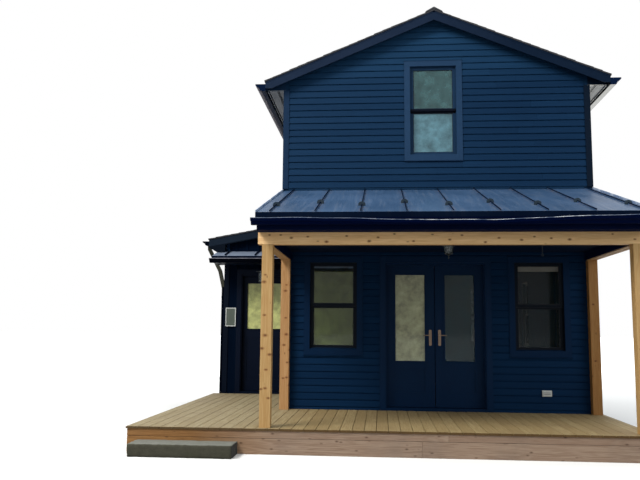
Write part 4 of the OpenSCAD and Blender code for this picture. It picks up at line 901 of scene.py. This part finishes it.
def upright_boards(name, place, u0, u1, z0, top, holes, first):
    """Upright boards with a batten over each joint; top gives the height of the wall's top at a place."""
    pile = Pile()

    def upright(a, b, out0, out1, tone):
        spans = [(z0, None)]
        for h in holes:
            if h[0] < b - 0.002 and h[1] > a + 0.002:
                spans = [(z0, h[2]), (h[3], None)]
        for low, high in spans:
            tops = [top(a) if high is None else high, top(b) if high is None else high]
            if min(tops) - low > 0.02:
                pile.bar(lambda z, u, out: place(u, out, z), rect(a, b, out0, out1), low,
                         [tops[0], tops[1], tops[1], tops[0]], tone)

    joints = [u0] + [u for u in np.arange(first, u1, BATTEN_PITCH) if u > u0 + 0.03] + [u1]
    strips = [(a, b, 0.001, -0.004, 0.009) for a, b in zip(joints, joints[1:])]
    strips += [(u - HALF_BATTEN, u + HALF_BATTEN, 0.0, 0.009, 0.026) for u in joints[1:-1]]
    for a, b, gap, out0, out1 in strips:
        cuts = sorted({a, b} | {e for h in holes for e in h[:2] if a < e < b})
        tone = dice.random()
        for c, d in zip(cuts, cuts[1:]):
            upright(c + gap, d - gap, out0, out1, tone)
    pile.mesh(name, "siding", lean_siding_shade_look, bevel=0.0015)


def lean_under(u):
    return lean_top(u) - ROOF_DEPTH - 0.002


FIRST_BATTEN = 0.13
upright_boards("boards_leanto_front", on_lean_front, LEAN_X + CORNER_IN, -HALF_W - 0.001, DECK_Z, lean_under,
               [SIDE_DOOR_HOLE], LEAN_X + CORNER_IN + FIRST_BATTEN)
upright_boards("boards_leanto_side", on_lean_side, -BACK_Y + CORNER_IN, -LEAN_Y - CORNER_IN, WALL_FOOT,
               lambda u: LEAN_SOFFIT_Z, holes_of(LEAN_WINDOWS), -BACK_Y + CORNER_IN + FIRST_BATTEN)
upright_boards("boards_leanto_back", on_back, HALF_W + 0.001, -LEAN_X - CORNER_IN, WALL_FOOT,
               lambda u: lean_under(-u), [], HALF_W + FIRST_BATTEN)


# Shingles

def shingle_roof(name, place, length, run, courses):
    """Courses of laminated shingles on a slope: place(along, up, out), length along, run up the slope."""
    pile = Pile()
    pitch, strip = run / courses, 0.985

    for k in range(courses):
        low, high = k * pitch, (k + 1) * pitch
        at = -length / 2 + dice.uniform(-0.9, 0.0)
        while at < length / 2:
            a, b = max(at, -length / 2), min(at + strip, length / 2)
            if b - a > 0.01:
                outline = [(low - 0.002, 0.0), (low - 0.002, 0.0062), (high, 0.0012), (high, 0.0)]
                pile.bar(place, outline, a + 0.0006, b - 0.0006, dice.uniform(0.1, 0.6))
            at += strip
        at = -length / 2 - dice.uniform(0.0, 0.15)
        while at < length / 2:
            end = at + dice.uniform(0.07, 0.2)
            a, b = max(at, -length / 2), min(end, length / 2)
            if b - a > 0.01:
                outline = [(low - 0.004, 0.004), (low - 0.004, 0.0105), (high - 0.004, 0.005),
                           (high - 0.004, 0.001)]
                pile.bar(place, outline, a, b, dice.random())
            at = end + dice.uniform(0.05, 0.16)
    pile.mesh(name, "shingles")


def slope_place(x0, z0, slope, turn, middle=0.0):
    """Along the eave, up the slope from it, and out from the surface. turn=-1 faces the slope to -X."""
    size = math.hypot(1.0, slope)
    run, rise = 1.0 / size, slope / size

    def place(a, s, n):
        return (turn * (x0 - s * run + n * rise), middle + turn * a, z0 + s * rise + n * run)

    return place


SLOPE_RUN = EAVE_X * math.hypot(1.0, SLOPE)
LEAN_RUN = (-HALF_W - LEAN_ROOF_LO.x) * math.hypot(1.0, LEAN_SLOPE)
MAIN_COURSES, LEAN_COURSES = 20, 12
for side, turn in (("right", 1), ("left", -1)):
    shingle_roof(f"shingles_{side}", slope_place(EAVE_X, roof_top(EAVE_X), SLOPE, turn), 2 * ROOF_END_Y,
                 SLOPE_RUN, MAIN_COURSES)
lean_place = slope_place(-LEAN_ROOF_LO.x, lean_top(LEAN_ROOF_LO.x), LEAN_SLOPE, -1,
                         (LEAN_ROOF_LO.y + LEAN_ROOF_HI.y) / 2)
shingle_roof("shingles_leanto", lean_place, LEAN_ROOF_HI.y - LEAN_ROOF_LO.y, LEAN_RUN, LEAN_COURSES)


def ridge_caps():
    """Cap shingles over the ridge vent, each lapping the next."""
    pile = Pile()
    half, low, high = 0.128, roof_top(0.125) + 0.019, RIDGE_Z + 0.038
    count, lap = 45, 0.004
    pitch = 2 * ROOF_END_Y / count
    foot = high - half * (high - low) / 0.125
    for i in range(count):
        y = -ROOF_END_Y + i * pitch
        tone = dice.random()
        for side in (1, -1):
            outline = [(side * half, foot), (0.0, high), (0.0, high + 0.006), (side * half, foot + 0.006)]
            pile.bar(lambda u, x, z: (x, u, z + lap * (u - y) / pitch), outline, y + 0.0008, y + pitch, tone)
    pile.mesh("ridge_caps", "shingles")


# Metal edges, flashings and seams

def metal_edges():
    """Drip edges under the shingles' ends, folded down over the tops of the rake boards."""
    pile = Pile()
    start = 0.012
    for turn in (1, -1):
        place = slope_place(EAVE_X - start, roof_top(EAVE_X - start), SLOPE, turn)
        for end in (1, -1):
            y0, y1 = end * (ROOF_END_Y - start), end * (ROOF_END_Y - start + 0.0035)
            outline = [(y0, -0.0182), (y1, -0.0182), (y1, -0.04), (y0, -0.04)]
            pile.bar(lambda s, a, n: place(a, s, n), outline, 0.0, SLOPE_RUN - start)
    pile.mesh("drip_edges", "gutter", NODE_LOOKS["rakes"])


def porch_flashings():
    """The apron at the wall above the porch roof, the folds at the eaves, and the upstands at the sides."""
    folds, apron, verges = Pile(), Pile(), Pile()
    side_x, wall_z = porch.hi.x, porch.top(FRONT_Y)
    apron.block(-CORNER, CORNER, FRONT_Y - 0.01, FRONT_Y, wall_z - 0.002, wall_z + 0.034)
    run = porch.run
    apron.bar(lambda u, a, n: porch.place(a, u, n),
              [(run - 0.022, 0.001), (run - 0.022, 0.004), (run, 0.004), (run, 0.001)], -side_x, side_x)
    for roof, end_x, drop in ((porch, side_x + 0.002, 0.064), (pent, -HALF_W, 0.045)):
        folds.block(roof.lo.x - 0.002, end_x, roof.edge_y - 0.005, roof.edge_y + 0.002, roof.edge_z - drop,
                    roof.edge_z + 0.002)
    for side in (1, -1):
        inner, outer = side * (side_x - 0.006), side * (side_x + 0.003)
        verges.bar(porch.place, rect(inner, outer, -0.012, 0.026), 0.0, run)
    apron.mesh("wall_apron", "roof_metal", apron_look, bevel=0.001)
    verges.mesh("porch_verges", "roof_metal", verge_highlight_look, bevel=0.001)
    folds.mesh("eave_folds", "roof_metal", flashing_and_seam_shade_look, bevel=0.001)


# sections of the seams' folded tops, as (X, out)
PORCH_ROLL = [(-0.006, -0.01), (0.0055, -0.01), (0.006, -0.002), (0.0035, 0.002), (-0.0035, 0.002),
              (-0.006, -0.002)]
PENT_ROLL = [(-0.01, -0.012), (0.01, -0.012), (0.008, 0.003), (-0.008, 0.003)]


def seam_rolls():
    """The folded top of each standing seam, in black that is painted shade."""
    pile = Pile()
    for roof, section, x, end in ((porch, PORCH_ROLL, SEAM_SHIFT - 4 * SEAM_PITCH, porch.hi.x),
                                  (pent, PENT_ROLL, pent.lo.x + 0.24, -HALF_W - 0.009)):
        while x < end:
            pile.bar(roof.place, shifted(section, x, SEAM_H / roof.size), 0.0, roof.run)
            x += SEAM_PITCH
    pile.mesh("seam_rolls", "roof_metal", flashing_and_seam_shade_look)


def last_snow_guard():
    """The guard on the seam at the right end of the porch roof: a plate across it and a clamp over it."""
    x, half = SEAM_SHIFT + 4 * SEAM_PITCH, 0.046
    y0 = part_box("snow_guards")[0].y
    y_clamp, y1 = y0 + 0.006, y0 + 0.058
    lift, over = 0.002, SEAM_H + 0.007
    outline = [(-half, 0.0), (-half, 0.027), (-0.72 * half, 0.045), (-0.32 * half, 0.054)]
    outline += [(-b, c) for b, c in outline[::-1]]
    pile = Pile()
    pile.bar(lambda a, b, c: (x + b, a, porch.top(y0) + lift + c), outline, y0, y_clamp, 0.5)
    clamp = [(y_clamp, porch.top(y_clamp) + lift), (y1, porch.top(y1) + lift), (y1, porch.top(y1) + over),
             (y_clamp, porch.top(y_clamp) + over)]
    pile.bar(ALONG["x"], clamp, x - 0.016, x + 0.016, 0.5)
    pile.mesh("snow_guard_right", "guard_metal")


# Gutters: hangers across the trough and the porch gutter's lip with its painted highlight

PORCH_GUTTER_X = 2.376
# how far the porch gutter's lip is bent up, from place to place along it
BEND_X = (-PORCH_GUTTER_X, -1.7, -1.0, -0.6, 0.5, 0.9, 1.3, 1.8, PORCH_GUTTER_X)
BEND = (0.001, 0.0, -0.013, -0.028, -0.032, -0.018, 0.002, 0.016, 0.024)


def gutter_fittings():
    pile = Pile()
    lip_z, porch_lip_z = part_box("gutters")[1].z, 2.79
    half, top, foot = 0.011, 0.003, 0.01
    main_x, porch_y = (2.614, 2.764), (-5.568, -5.452)
    for i in range(11):
        y = -3.0 + 0.6 * i
        for x0, x1 in (main_x, (-main_x[1], -main_x[0])):
            pile.block(x0, x1, y - half, y + half, lip_z - foot, lip_z - top)
    for i in range(8):
        x = -2.2 + 0.6 * i
        pile.block(x - half, x + half, *porch_y, porch_lip_z - foot, porch_lip_z - top, along="y")
    # straps that hold the downspout to the wall
    spout = (-3.797, -3.735, -0.558, -0.496)
    for z in (0.55, 1.35, 2.05):
        pile.block(spout[0] - 0.003, spout[1] + 0.022, spout[2] - 0.003, spout[3] + 0.003, z, z + 0.028)
    pile.mesh("gutter_fittings", "gutter")


def gutter_lip():
    """The porch gutter's wavy front lip with a painted highlight and the face under it, and the pent gutter's
    lip with a painted highlight.
    """
    rolls, faces, pent_roll = Pile(), Pile(), Pile()
    steps = 120

    def bent(x, y, z):
        return (x, y, z + float(np.interp(x, BEND_X, BEND)) + 0.0018 * math.sin(9.3 * x))

    roll = [(-5.5705, 2.785), (-5.5725, 2.787), (-5.5725, 2.7905), (-5.5705, 2.7925), (-5.5665, 2.7925),
            (-5.5645, 2.79), (-5.5665, 2.785)]
    face = [(-5.5712, 2.753), (-5.5712, 2.787), (-5.568, 2.787), (-5.568, 2.753)]
    for i in range(steps):
        a, b = (-PORCH_GUTTER_X + 2 * PORCH_GUTTER_X * k / steps for k in (i, i + 1))
        rolls.bar(bent, roll, a, b)
        faces.bar(bent, face, a, b)
    rolls.mesh("gutter_lip", "gutter", lip_highlight_look)
    faces.mesh("gutter_front", "gutter")
    y, z = pent.edge_y - 0.082, 2.732
    roll = shifted([(-0.002, -0.006), (-0.002, 0.003), (0.006, 0.003), (0.006, -0.006)], y, z)
    pent_roll.bar(ALONG["x"], roll, pent.lo.x - 0.036, -HALF_W - 0.03)
    pent_roll.mesh("pent_gutter_lip", "gutter", pent_lip_highlight_look)


# Soffits

def panel_rows(y0, y1):
    """Ends of the soffit panels from y0 to y1."""
    panel = 0.305
    while y0 < y1 - 0.001:
        yield y0, min(y0 + panel, y1)
        y0 += panel


def soffits():
    """Vented panels with a pale lip at the fascia under both main eaves, and panels under the lean-to's."""
    panels, vent_shade_strips = Pile(), Pile()
    thick, lean_end = 0.006, -3.98
    wall, slot_in, slot_out, panel_end, fascia = 2.326, 2.404, 2.446, 2.56, 2.589

    def strip(pile, side, x0, x1, y0, y1, depth):
        a, b = sorted((side * x0, side * x1))
        pile.block(a, b, y0, y1, SOFFIT_Z - depth, SOFFIT_Z, along="y")

    for side in (1, -1):
        for y, y1 in panel_rows(FRONT_Y, BACK_Y):
            strip(panels, side, wall, slot_in, y + 0.001, y1 - 0.001, thick)
            strip(panels, side, slot_out, panel_end, y + 0.001, y1 - 0.001, thick)
            slot = y + 0.004
            while slot < y1 - 0.006:
                strip(panels, side, slot_in, slot_out, slot, slot + 0.004, thick)
                slot += 0.0185
        # dark strips behind the vent slots and in the gap before the lip: painted shade
        strip(vent_shade_strips, side, slot_in, slot_out, FRONT_Y, BACK_Y, 0.0035)
        strip(vent_shade_strips, side, panel_end, fascia, FRONT_Y, BACK_Y, 0.0015)
        strip(panels, side, fascia - 0.012, fascia, FRONT_Y, BACK_Y, 0.016)
    for y, y1 in panel_rows(LEAN_Y, BACK_Y):
        panels.block(lean_end, LEAN_X - 0.026, y + 0.001, y1 - 0.001, LEAN_SOFFIT_Z - thick, LEAN_SOFFIT_Z,
                     along="y")
    panels.mesh("soffit_panels", "soffit")
    vent_shade_strips.mesh("soffit_vents", "soffit", vent_shade_look)


# Windows: head flashing, sills, glazing seals and sash locks

# sections as (out, up): the flashing over a window's head, its sill's nose and slope, and the sash lock
HEAD_FLASHING = [(0.0, 0.0), (0.031, -0.002), (0.031, 0.001), (0.004, 0.006), (0.004, 0.028), (0.0, 0.028)]
SILL_NOSE = [(0.0, -0.014), (0.034, -0.014), (0.036, -0.004), (0.0, 0.002)]
SILL_SLOPE = [(-0.06, 0.0), (0.012, -0.008), (0.012, -0.001), (-0.06, 0.012)]
SASH_LOCK = [(-0.084, -0.004), (-0.084, 0.01), (-0.052, 0.01), (-0.052, -0.004)]


def window_trim():
    sills, seals = Pile(), Pile()
    inner = WINDOW_W / 2 - 0.022
    half, rail, seal = inner - 0.045, 0.032, 0.006
    ends = FRONT_LOW + GABLE_UP
    for place, windows in ((on_front, ends), (on_back, ends), (on_right, RIGHT_WINDOWS),
                           (on_left, LEFT_WINDOWS), (on_lean_side, LEAN_WINDOWS)):
        for u, head, height in windows:
            u0, u1, z0, z1 = window_hole(u, head, height)
            sills.bar(place, shifted(HEAD_FLASHING, 0.0, z1), u0 - 0.004, u1 + 0.004)
            sills.bar(place, shifted(SILL_NOSE, 0.0, z0), u0 - 0.006, u1 + 0.006)
            foot, middle = head - height + 0.022, head - height / 2
            sills.bar(place, shifted(SILL_SLOPE, 0.0, foot), u - inner, u + inner)
            left, right = u - half, u + half
            for low, high, out in ((middle + rail, head - 0.067, -0.033),
                                   (foot + 0.045, middle - rail, -0.065)):
                for a, b, c, d in ((left, right, low, low + seal), (left, right, high - seal, high),
                                   (left, left + seal, low, high), (right - seal, right, low, high)):
                    seals.bar(place, rect(out, out + 0.007, c, d), a, b)
            seals.bar(place, shifted(SASH_LOCK, 0.0, middle), u - 0.028, u + 0.028)
    sills.mesh("window_sills", "trim", trim_board_look, bevel=0.001)
    seals.mesh("glazing_seals", "window_black", black_look)


# Deck

DECK_PITCH, DECK_GAP = 0.1435, 0.0055


def deck():
    """Boards from front to back with eased edges, screwed to the joists."""
    boards, screws = Pile(), Pile()
    lo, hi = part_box("deck_floor")
    x, ease, head = lo.x, 0.003, 0.0042
    joists = [start + 0.41 * i + 0.019 for start, count in ((-4.882, 5), (-3.012, 6)) for i in range(count)]
    while x < hi.x - 0.03:
        x1 = min(x + DECK_PITCH - DECK_GAP, hi.x)
        back = LEAN_Y if (x + x1) / 2 < -HALF_W else FRONT_Y
        ends = [lo.y + dice.uniform(0.0, 0.004), back]
        if back == LEAN_Y and dice.random() < 0.6:
            ends.insert(1, dice.choice(joists[2:8]))
        for a, b in zip(ends, ends[1:]):
            z = DECK_Z - dice.uniform(0.0, 0.0012)
            outline = [(x, lo.z), (x1, lo.z), (x1, z - ease), (x1 - ease, z), (x + ease, z), (x, z - ease)]
            boards.bar(ALONG["y"], outline, a + 0.001, b - 0.001)
        for y in joists + [lo.y + 0.03, back - 0.025]:
            if y < back - 0.02:
                for u in (x + 0.026, x1 - 0.026):
                    circle = [(u + head * math.cos(t * math.pi / 3), y + head * math.sin(t * math.pi / 3))
                              for t in range(6)]
                    screws.bar(ALONG["z"], circle, DECK_Z - 0.004, DECK_Z + 0.0003)
        x += DECK_PITCH
    piece = boards.mesh("deck_boards", "decking")
    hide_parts("deck_floor")
    screws.mesh("deck_screws", "decking", screw_look)


def skirt():
    """Two boards one over the other round the deck's open edges, and the ledgers along the walls."""
    pile = Pile()
    lo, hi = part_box("deck_skirt")
    thick, ledger, ledger_foot = 0.026, 0.038, 0.09
    for z0, z1 in ((0.0, 0.184), (0.188, hi.z)):
        joint = lo.x + dice.uniform(2.4, 3.9)
        for a, b in ((lo.x, joint), (joint, hi.x)):
            pile.block(a + 0.001, b - 0.001, lo.y, lo.y + thick, z0, z1)
        pile.block(lo.x, lo.x + thick, lo.y + thick, LEAN_Y, z0, z1, along="y")
        pile.block(hi.x - thick, hi.x, lo.y + thick, FRONT_Y, z0, z1, along="y")
    pile.block(-HALF_W - ledger, hi.x - thick, FRONT_Y - ledger, FRONT_Y, ledger_foot, hi.z)
    pile.block(-HALF_W - ledger, -HALF_W, FRONT_Y, LEAN_Y - ledger, ledger_foot, hi.z, along="y")
    pile.block(lo.x + thick, -HALF_W, LEAN_Y - ledger, LEAN_Y, ledger_foot, hi.z)
    piece = pile.mesh("skirt_boards", "skirt_wood", skirt_look, bevel=0.0015)
    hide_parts("deck_skirt")


def hashed(x, y, z):
    """A repeatable value from -1 to 1 for a point."""
    value = math.sin(x * 127.1 + y * 311.7 + z * 74.7) * 43758.5453
    return 2 * (value - math.floor(value)) - 1


def stone():
    """The step: one slab, its edges chipped and its faces slightly uneven."""
    lo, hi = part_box("stone_step")
    centre, half = (lo + hi) / 2, (hi - lo) / 2
    work = bmesh.new()
    bmesh.ops.create_cube(work, size=1.0)
    bmesh.ops.scale(work, verts=work.verts, vec=(hi.x - lo.x, hi.y - lo.y, hi.z - lo.z))
    bmesh.ops.translate(work, verts=work.verts, vec=centre)
    for count, axis in ((5, 0), (2, 1)):
        edges = [e for e in work.edges if abs((e.verts[0].co - e.verts[1].co)[axis]) > 0.1]
        bmesh.ops.subdivide_edges(work, edges=edges, cuts=count, use_grid_fill=True)
    bmesh.ops.subdivide_edges(work, edges=work.edges, cuts=5, use_grid_fill=True)
    at_face = 0.004
    for v in work.verts:
        rel = v.co - centre
        near = [half[i] - abs(rel[i]) for i in range(3)]
        on_edge = sum(1 for n in near if n < at_face) > 1
        rough = 0.009 if on_edge else 0.002
        wave = math.sin(v.co.x * 9.0) * math.sin(v.co.y * 23.0 + 1.0) * 0.003
        for i in range(3):
            if near[i] < at_face and not (i == 2 and rel[2] < 0) and not (i == 1 and rel[1] > 0):
                push = abs(hashed(v.co.x, v.co.y, v.co.z + i)) * rough + abs(wave)
                v.co[i] -= math.copysign(push, rel[i])
    data = bpy.data.meshes.new("step_slab")
    work.to_mesh(data)
    work.free()
    data.shade_smooth()
    piece = add_piece("step_slab", data, "step_stone")
    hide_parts("stone_step")


def ceiling():
    """The porch ceiling's boards, each as long as the ceiling is wide."""
    pile = Pile()
    y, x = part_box("porch_ceiling")[0].y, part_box("porch_ceiling")[1].x
    board = 0.0865
    while y < FRONT_Y - 0.01:
        y1 = min(y + board, FRONT_Y)
        outline = [(y, CEILING_Z), (y, CEILING_Z - 0.002), (y + 0.004, CEILING_Z - 0.006),
                   (y1 - 0.004, CEILING_Z - 0.006), (y1, CEILING_Z - 0.002), (y1, CEILING_Z)]
        pile.bar(ALONG["x"], outline, -x, x)
        y = y1
    pile.mesh("ceiling_boards", "ceiling")


# Small fittings

def sign_and_outlet():
    """The wall sign's bare face and the outlet's slots."""
    face, slots = Pile(), Pile()
    x, z = -3.594, 1.69
    face.block(x - 0.079, x + 0.079, LEAN_Y - 0.0375, LEAN_Y - 0.034, z - 0.154, z + 0.154, along="z")
    face.mesh("sign_face", "plate_metal", face_look)
    for z in (OUTLET_Z - 0.01, OUTLET_Z + 0.01):
        slots.block(OUTLET_X - 0.048, OUTLET_X + 0.048, FRONT_Y - 0.0435, FRONT_Y - 0.041, z - 0.003,
                    z + 0.003)
    slots.mesh("outlet_slots", "plate_metal", black_look)


BULB = [(0.009, 0.0), (0.01, 0.03), (0.006, 0.034), (0.014, 0.052), (0.017, 0.072), (0.012, 0.1),
        (0.002, 0.118)]


def lamp_bulbs():
    """A turned bulb in each lantern, from (radius, height) pairs; the porch lantern's is half as tall."""
    steps, foot = 24, 0.084
    circle = [(math.cos(2 * math.pi * i / steps), math.sin(2 * math.pi * i / steps)) for i in range(steps)]
    last = steps * (len(BULB) - 1)
    faces = [[k + i, k + (i + 1) % steps, k + steps + (i + 1) % steps, k + steps + i]
             for k in range(0, last, steps) for i in range(steps)]
    faces += [list(range(steps))[::-1], list(range(last, last + steps))]
    for name, x, y, z, tall in (("porch", 0.095, FRONT_Y - 1.05, 2.44, 0.5),
                                ("side", -2.99, LEAN_Y - 0.25, 2.26, 1.0)):
        points = [(x + r * c, y + r * s, z + (foot + tall * h)) for r, h in BULB for c, s in circle]
        data = closed_mesh(f"lamp_bulb_{name}", points, faces)
        data.shade_smooth()
        add_piece(f"lamp_bulb_{name}", data, "lantern_glass", bulb_look)


def door_fittings():
    """A lock cylinder under each lever, on both faces of each leaf."""
    radius = 0.011
    for body, handle in (("french_left", "french_handle_left"), ("french_right", "french_handle_right"),
                         ("side_leaf", "side_door_handle")):
        lo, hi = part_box(handle)
        x = lo.x + 0.02 if body == "french_right" else hi.x - 0.02
        z = (lo.z + hi.z) / 2 - 0.055
        ring = [(x + radius * math.cos(t * math.pi / 8), z + radius * math.sin(t * math.pi / 8))
                for t in range(16)]
        locks = Pile()
        for y0, y1 in ((lo.y + 0.036, lo.y + 0.06), (hi.y - 0.06, hi.y - 0.036)):
            locks.bar(ALONG["y"], ring, y0, y1)
        locks.mesh(f"lock_{body}", "handle_bronze", body=body)


# Floor, lamps and camera

LAMPS = (
    # name, place, what it points at, size, power, colour
    ("key", (-10.0, -12.0, 14.0), (0.0, -2.0, 2.2), 6.0, 2700.0, (1.0, 0.97, 0.93)),
    ("fill", (11.0, -12.0, 8.0), (0.0, -2.0, 2.5), 8.0, 500.0, (0.92, 0.96, 1.0)),
    ("back", (2.0, 14.0, 12.0), (0.0, 1.0, 3.0), 8.0, 1500.0, (1.0, 0.98, 0.95)),
)
WHITE = (1.0, 1.0, 1.0)


def stage_and_light():
    """A pale floor, a white background, and soft light that is strongest from above."""
    scene = bpy.context.scene
    bpy.ops.mesh.primitive_plane_add(size=400.0, location=(0, 0, -0.001))
    floor = bpy.context.object
    floor.name = "studio_floor"
    look = Look("studio_floor")
    pale = look.mix(look.noise(0.7, 2.0, 0.5), (0.86, 0.86, 0.85), (0.9, 0.9, 0.89))
    seen = look.seen()
    look.finish(look.mix(seen, (0.32, 0.32, 0.31), pale), 0.9, 0.0, 0.0)
    away = look.node("VectorMath", {0: look.coordinates()}, operation="LENGTH").outputs["Value"]
    look.put(look.surface.inputs["Emission Color"], WHITE)
    look.put(look.surface.inputs["Emission Strength"], look.both(seen, look.ramp(away, 7.0, 16.0, 0.0, 0.9)))
    floor.data.materials.append(look.material)

    world = bpy.data.worlds.new("studio")
    scene.world = world
    world.use_nodes = True
    world.node_tree.nodes.clear()
    sky = Nodes(world.node_tree)
    strength = sky.ramp(sky.split(sky.coordinates("Generated"))["Z"], 0.0, 0.9, 0.52, 0.98)
    lighting = sky.node("Background", {"Color": (0.93, 0.97, 1.0), "Strength": strength})
    shown = sky.node("Background", {"Color": WHITE, "Strength": 1.0})
    blend = sky.node("MixShader", {0: sky.seen(), 1: lighting.outputs[0], 2: shown.outputs[0]})
    sky.node("OutputWorld", {"Surface": blend.outputs[0]})

    for name, place, aim, size, power, colour in LAMPS:
        lamp = bpy.data.lights.new(name, "AREA")
        lamp.size = size
        lamp.energy = power
        lamp.color = colour
        holder = bpy.data.objects.new(name, lamp)
        holder.location = place
        holder.rotation_euler = (Vector(aim) - Vector(place)).to_track_quat("-Z", "Y").to_euler()
        scene.collection.objects.link(holder)
    scene.view_settings.view_transform = "Standard"


def camera():
    """The photograph's viewpoint: 1.5 m above the ground, 11 m in front of the front wall."""
    sensor, focal_pixels, picture_pixels = 36.0, 731.05, 640
    yaw, pitch, roll = (math.radians(a) for a in (4.7678, 90 + 6.9915, 0.5038))
    data = bpy.data.cameras.new("camera")
    data.sensor_width = sensor
    data.lens = focal_pixels / picture_pixels * sensor
    data.clip_end = 500.0
    holder = bpy.data.objects.new("camera", data)
    turn = Matrix.Rotation(yaw, 4, "Z") @ Matrix.Rotation(pitch, 4, "X") @ Matrix.Rotation(roll, 4, "Z")
    holder.matrix_world = Matrix.Translation((-0.8277, -14.0837, 1.4719)) @ turn
    bpy.context.scene.collection.objects.link(holder)
    bpy.context.scene.camera = holder


for build in (ridge_caps, metal_edges, porch_flashings, seam_rolls, last_snow_guard, gutter_fittings,
              gutter_lip, soffits, window_trim, deck, skirt, stone, ceiling, sign_and_outlet, lamp_bulbs,
              door_fittings, stage_and_light, camera):
    build()
